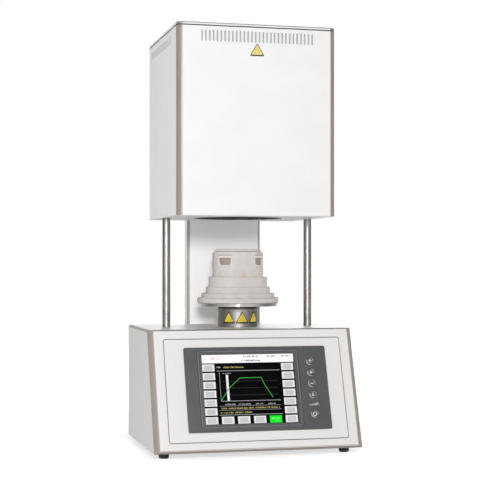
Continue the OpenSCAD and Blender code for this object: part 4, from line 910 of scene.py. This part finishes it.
# Furnace chamber: pressed white fibre round the mouth and over the roof, in a steel can. Four
# glazed heating hairpins and a thermocouple hang through the roof.
fibre = surface("pressed_fibre", ("#dcd6cb", "#ece7dd"), 14, (0.9, 1.0), (1.1, 0.18))
dress(fibre, "chamber_insulation", "roof_insulation", "thermocouple")
mouth_steel = surface("scaled_steel", ("#474a4b", "#666869"), 7, (0.55, 0.75), (0.7, 0.03),
                      metal=0.7)
dress(mouth_steel, "mouth_ring")
glaze = surface("element_glaze", ("#4a4542", "#6a625d"), 5, (0.3, 0.5), (0.6, 0.02))
dress(glaze, "heating_elements")

# Head: folded steel sheet in smooth white paint, round the chamber can. The floor plate closes
# it below, the lid plate sits over a shadow gap, and slots round the top let the heat out.
head_paint = surface("head_paint", ("#eeeeee", "#f1f1f1"), 60, (0.3, 0.36), (0.9, 0.004))
# Painted reflection: brown-grey on every bend of the head's sheet.
painted_bend_reflection(head_paint, "#938a82", upright)
dress(head_paint, "head_floor", "head_rear_panel")

# Head shell: the same painted sheet, folded round front and sides, with rows of slots punched
# through it. Inside the rows at the sides, what lies deeper than the outer face carries painted grey
# shade.
shell_paint = head_paint.copy()
shell_paint.name = "head_shell_paint"
low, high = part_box("head_shell")
wires = shell_paint.node_tree
side_way = wires.nodes.new("ShaderNodeMath")
side_way.operation = "ABSOLUTE"
wires.links.new(along(shell_paint, (1, 0, 0)), side_way.inputs[0])
painted_slot_shade = between(shell_paint, side_way.outputs[0], high.x - 0.1 * MM, high.x - 0.3 * MM)
backward, upward = (0, 1, 0), (0, 0, 1)
end_from, end_full = 14 * MM, 16 * MM
foot_from, foot_full = 34 * MM, 32 * MM
top_from, top_full = 6 * MM, 8 * MM
for way, none, full in ((backward, low.y + end_from, low.y + end_full),
                        (backward, high.y - end_from, high.y - end_full),
                        (upward, high.z - foot_from, high.z - foot_full),
                        (upward, high.z - top_from, high.z - top_full)):
    limit = between(shell_paint, along(shell_paint, way), none, full)
    painted_slot_shade = sum_up(shell_paint, "MULTIPLY", painted_slot_shade, limit)
overlay(shell_paint, "#a4a4a3", painted_slot_shade)
dress(shell_paint, "head_shell")

# Head lid: the same painted sheet, standing on a raised frame. The frame inside the shadow gap
# carries painted dark grey shade.
lid_paint = head_paint.copy()
lid_paint.name = "head_lid_paint"
lid_plate = 4.5 * MM
lid_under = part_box("head_lid")[1].z - lid_plate
painted_lid_gap_shade = between(lid_paint, along(lid_paint, (0, 0, 1)),
                      lid_under + 0.3 * MM, lid_under + 0.1 * MM)
overlay(lid_paint, "#3f4042", painted_lid_gap_shade)
dress(lid_paint, "head_lid")

# Slot shade sheet: a frame of thin grey sheet just behind the slots, hung from the lid. Its grey,
# seen through the slots, stands in for the shade inside them.
low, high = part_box("head_shell")
shade_sheet_in, shade_sheet_t = 4.2 * MM, 0.8 * MM
shade_sheet_low, shade_sheet_high = high.z - 34 * MM, high.z - 1 * MM
form = bmesh.new()
for inset, facing_out in ((shade_sheet_in, 1), (shade_sheet_in + shade_sheet_t, -1)):
    corners = [(low.x + inset, low.y + inset), (high.x - inset, low.y + inset),
               (high.x - inset, high.y - inset), (low.x + inset, high.y - inset)]
    for (x0, y0), (x1, y1) in zip(corners, corners[1:] + corners[:1]):
        wall = [(x0, y0, shade_sheet_low), (x1, y1, shade_sheet_low),
                (x1, y1, shade_sheet_high), (x0, y0, shade_sheet_high)]
        form.faces.new([form.verts.new(point) for point in wall[::facing_out]])
shade_sheet_paint = surface("shade_sheet_paint", ("#b4b4b4", "#c0c0c0"), 12, (0.5, 0.6), (0.5, 0.01))
bmesh.ops.remove_doubles(form, verts=form.verts, dist=0.01 * MM)
fit("slot_shade_sheet", form, shade_sheet_paint, "base")


# Yellow plates: small enamelled triangles, glued on, one on the head's front and three round the
# lift tube. Each has a slim dark backing that shows as its edge.
def triangle(width, height, radius):
    """The outline of an upright triangle with round corners about its middle, in mm."""
    corners = [Vector((-width / 2, -height / 2)), Vector((width / 2, -height / 2)),
               Vector((0, height / 2))]
    outline = []
    for i, corner in enumerate(corners):
        before = (corners[i - 1] - corner).normalized()
        after = (corners[(i + 1) % 3] - corner).normalized()
        half = before.angle(after) / 2
        centre = corner + (before + after).normalized() * radius / math.sin(half)
        start = corner + before * radius / math.tan(half) - centre
        sweep = math.pi - 2 * half
        for step in range(7):
            turn = Matrix.Rotation(sweep * step / 6, 2)
            outline.append(tuple(centre + turn @ start))
    return outline


enamel = surface("yellow_enamel", ("#d2b52f", "#dcc247"), 4, (0.3, 0.4), (0.6, 0.004))
pale_enamel = surface("pale_enamel", ("#dfcd70", "#e6d781"), 4, (0.3, 0.4), (0.6, 0.004))
backing = surface("plate_backing", ("#26231c", "#322e26"), 3, (0.5, 0.6), (0.5, 0.004))
low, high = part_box("head_shell")
backing_t, plate_t = 0.25, 0.4
plate_x, plate_drop = -0.7 * MM, 38.6 * MM
head_spot = facing_matrix((plate_x, low.y, high.z - plate_drop), (0, -1, 0))
form = bmesh.new()
slab(form, triangle(width=27.4, height=23.4, radius=1.8), 0, backing_t, head_spot)
fit("head_plate_backing", form, backing, "base")
form = bmesh.new()
slab(form, triangle(width=22, height=18.6, radius=1.0), backing_t, plate_t, head_spot)
fit("head_plate", form, pale_enamel, "base")


def wrapped(form, outline, low, high, radius, middle, turn, height):
    """An outline in mm wrapped round a vertical tube, between two heights over its wall."""
    flat = bmesh.new()
    slab(flat, outline, low, high, Matrix())
    cut_step = 1.2
    for cut in range(-10, 11):
        bmesh.ops.bisect_plane(flat, geom=flat.verts[:] + flat.edges[:] + flat.faces[:],
                               plane_co=(cut * MM * cut_step, 0, 0), plane_no=(1, 0, 0))
    for v in flat.verts:
        angle, out = turn + v.co.x / radius, radius + v.co.z
        v.co = (middle.x + out * math.sin(angle), middle.y - out * math.cos(angle), height + v.co.y)
    rolled = bpy.data.meshes.new("rolled")
    flat.to_mesh(rolled)
    form.from_mesh(rolled)
    flat.free()
    bpy.data.meshes.remove(rolled)


low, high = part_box("lift_tube")
tube_r = (high.x - low.x) / 2
tube_mid = (low + high) / 2
tube_backing = triangle(width=26.4, height=23, radius=1.4)
tube_plate = triangle(width=20.4, height=17.4, radius=0.8)
backing_foot = -0.3
plate_z = 243 * MM
backings, plates = bmesh.new(), bmesh.new()
for degrees in (-40.2, -1.0, 38.2):
    turn = math.radians(degrees)
    wrapped(backings, tube_backing, backing_foot, backing_t, tube_r, tube_mid, turn, plate_z)
    wrapped(plates, tube_plate, 0, plate_t, tube_r, tube_mid, turn, plate_z)
fit("tube_plate_backings", backings, backing, "lift")
fit("tube_plates", plates, enamel, "lift")

# Rear spine: a folded channel behind the base with a screwed cover, in satin silver paint. The
# red silicone heater cables run up it from the transformer to the head.
silver_paint = surface("silver_paint", ("#f5f5f4", "#f9f9f8"), 1.2, (0.34, 0.44), (0.5, 0.012))
# Painted reflection: brown-grey on the bends of the channel and its cover.
painted_bend_reflection(silver_paint, "#a9a39d", upright)
dress(silver_paint, "spine_channel", "spine_cover")
silicone = surface("red_silicone", ("#8f2a20", "#a63a2d"), 9, (0.55, 0.7), (0.6, 0.02))
dress(silicone, "heater_cables")
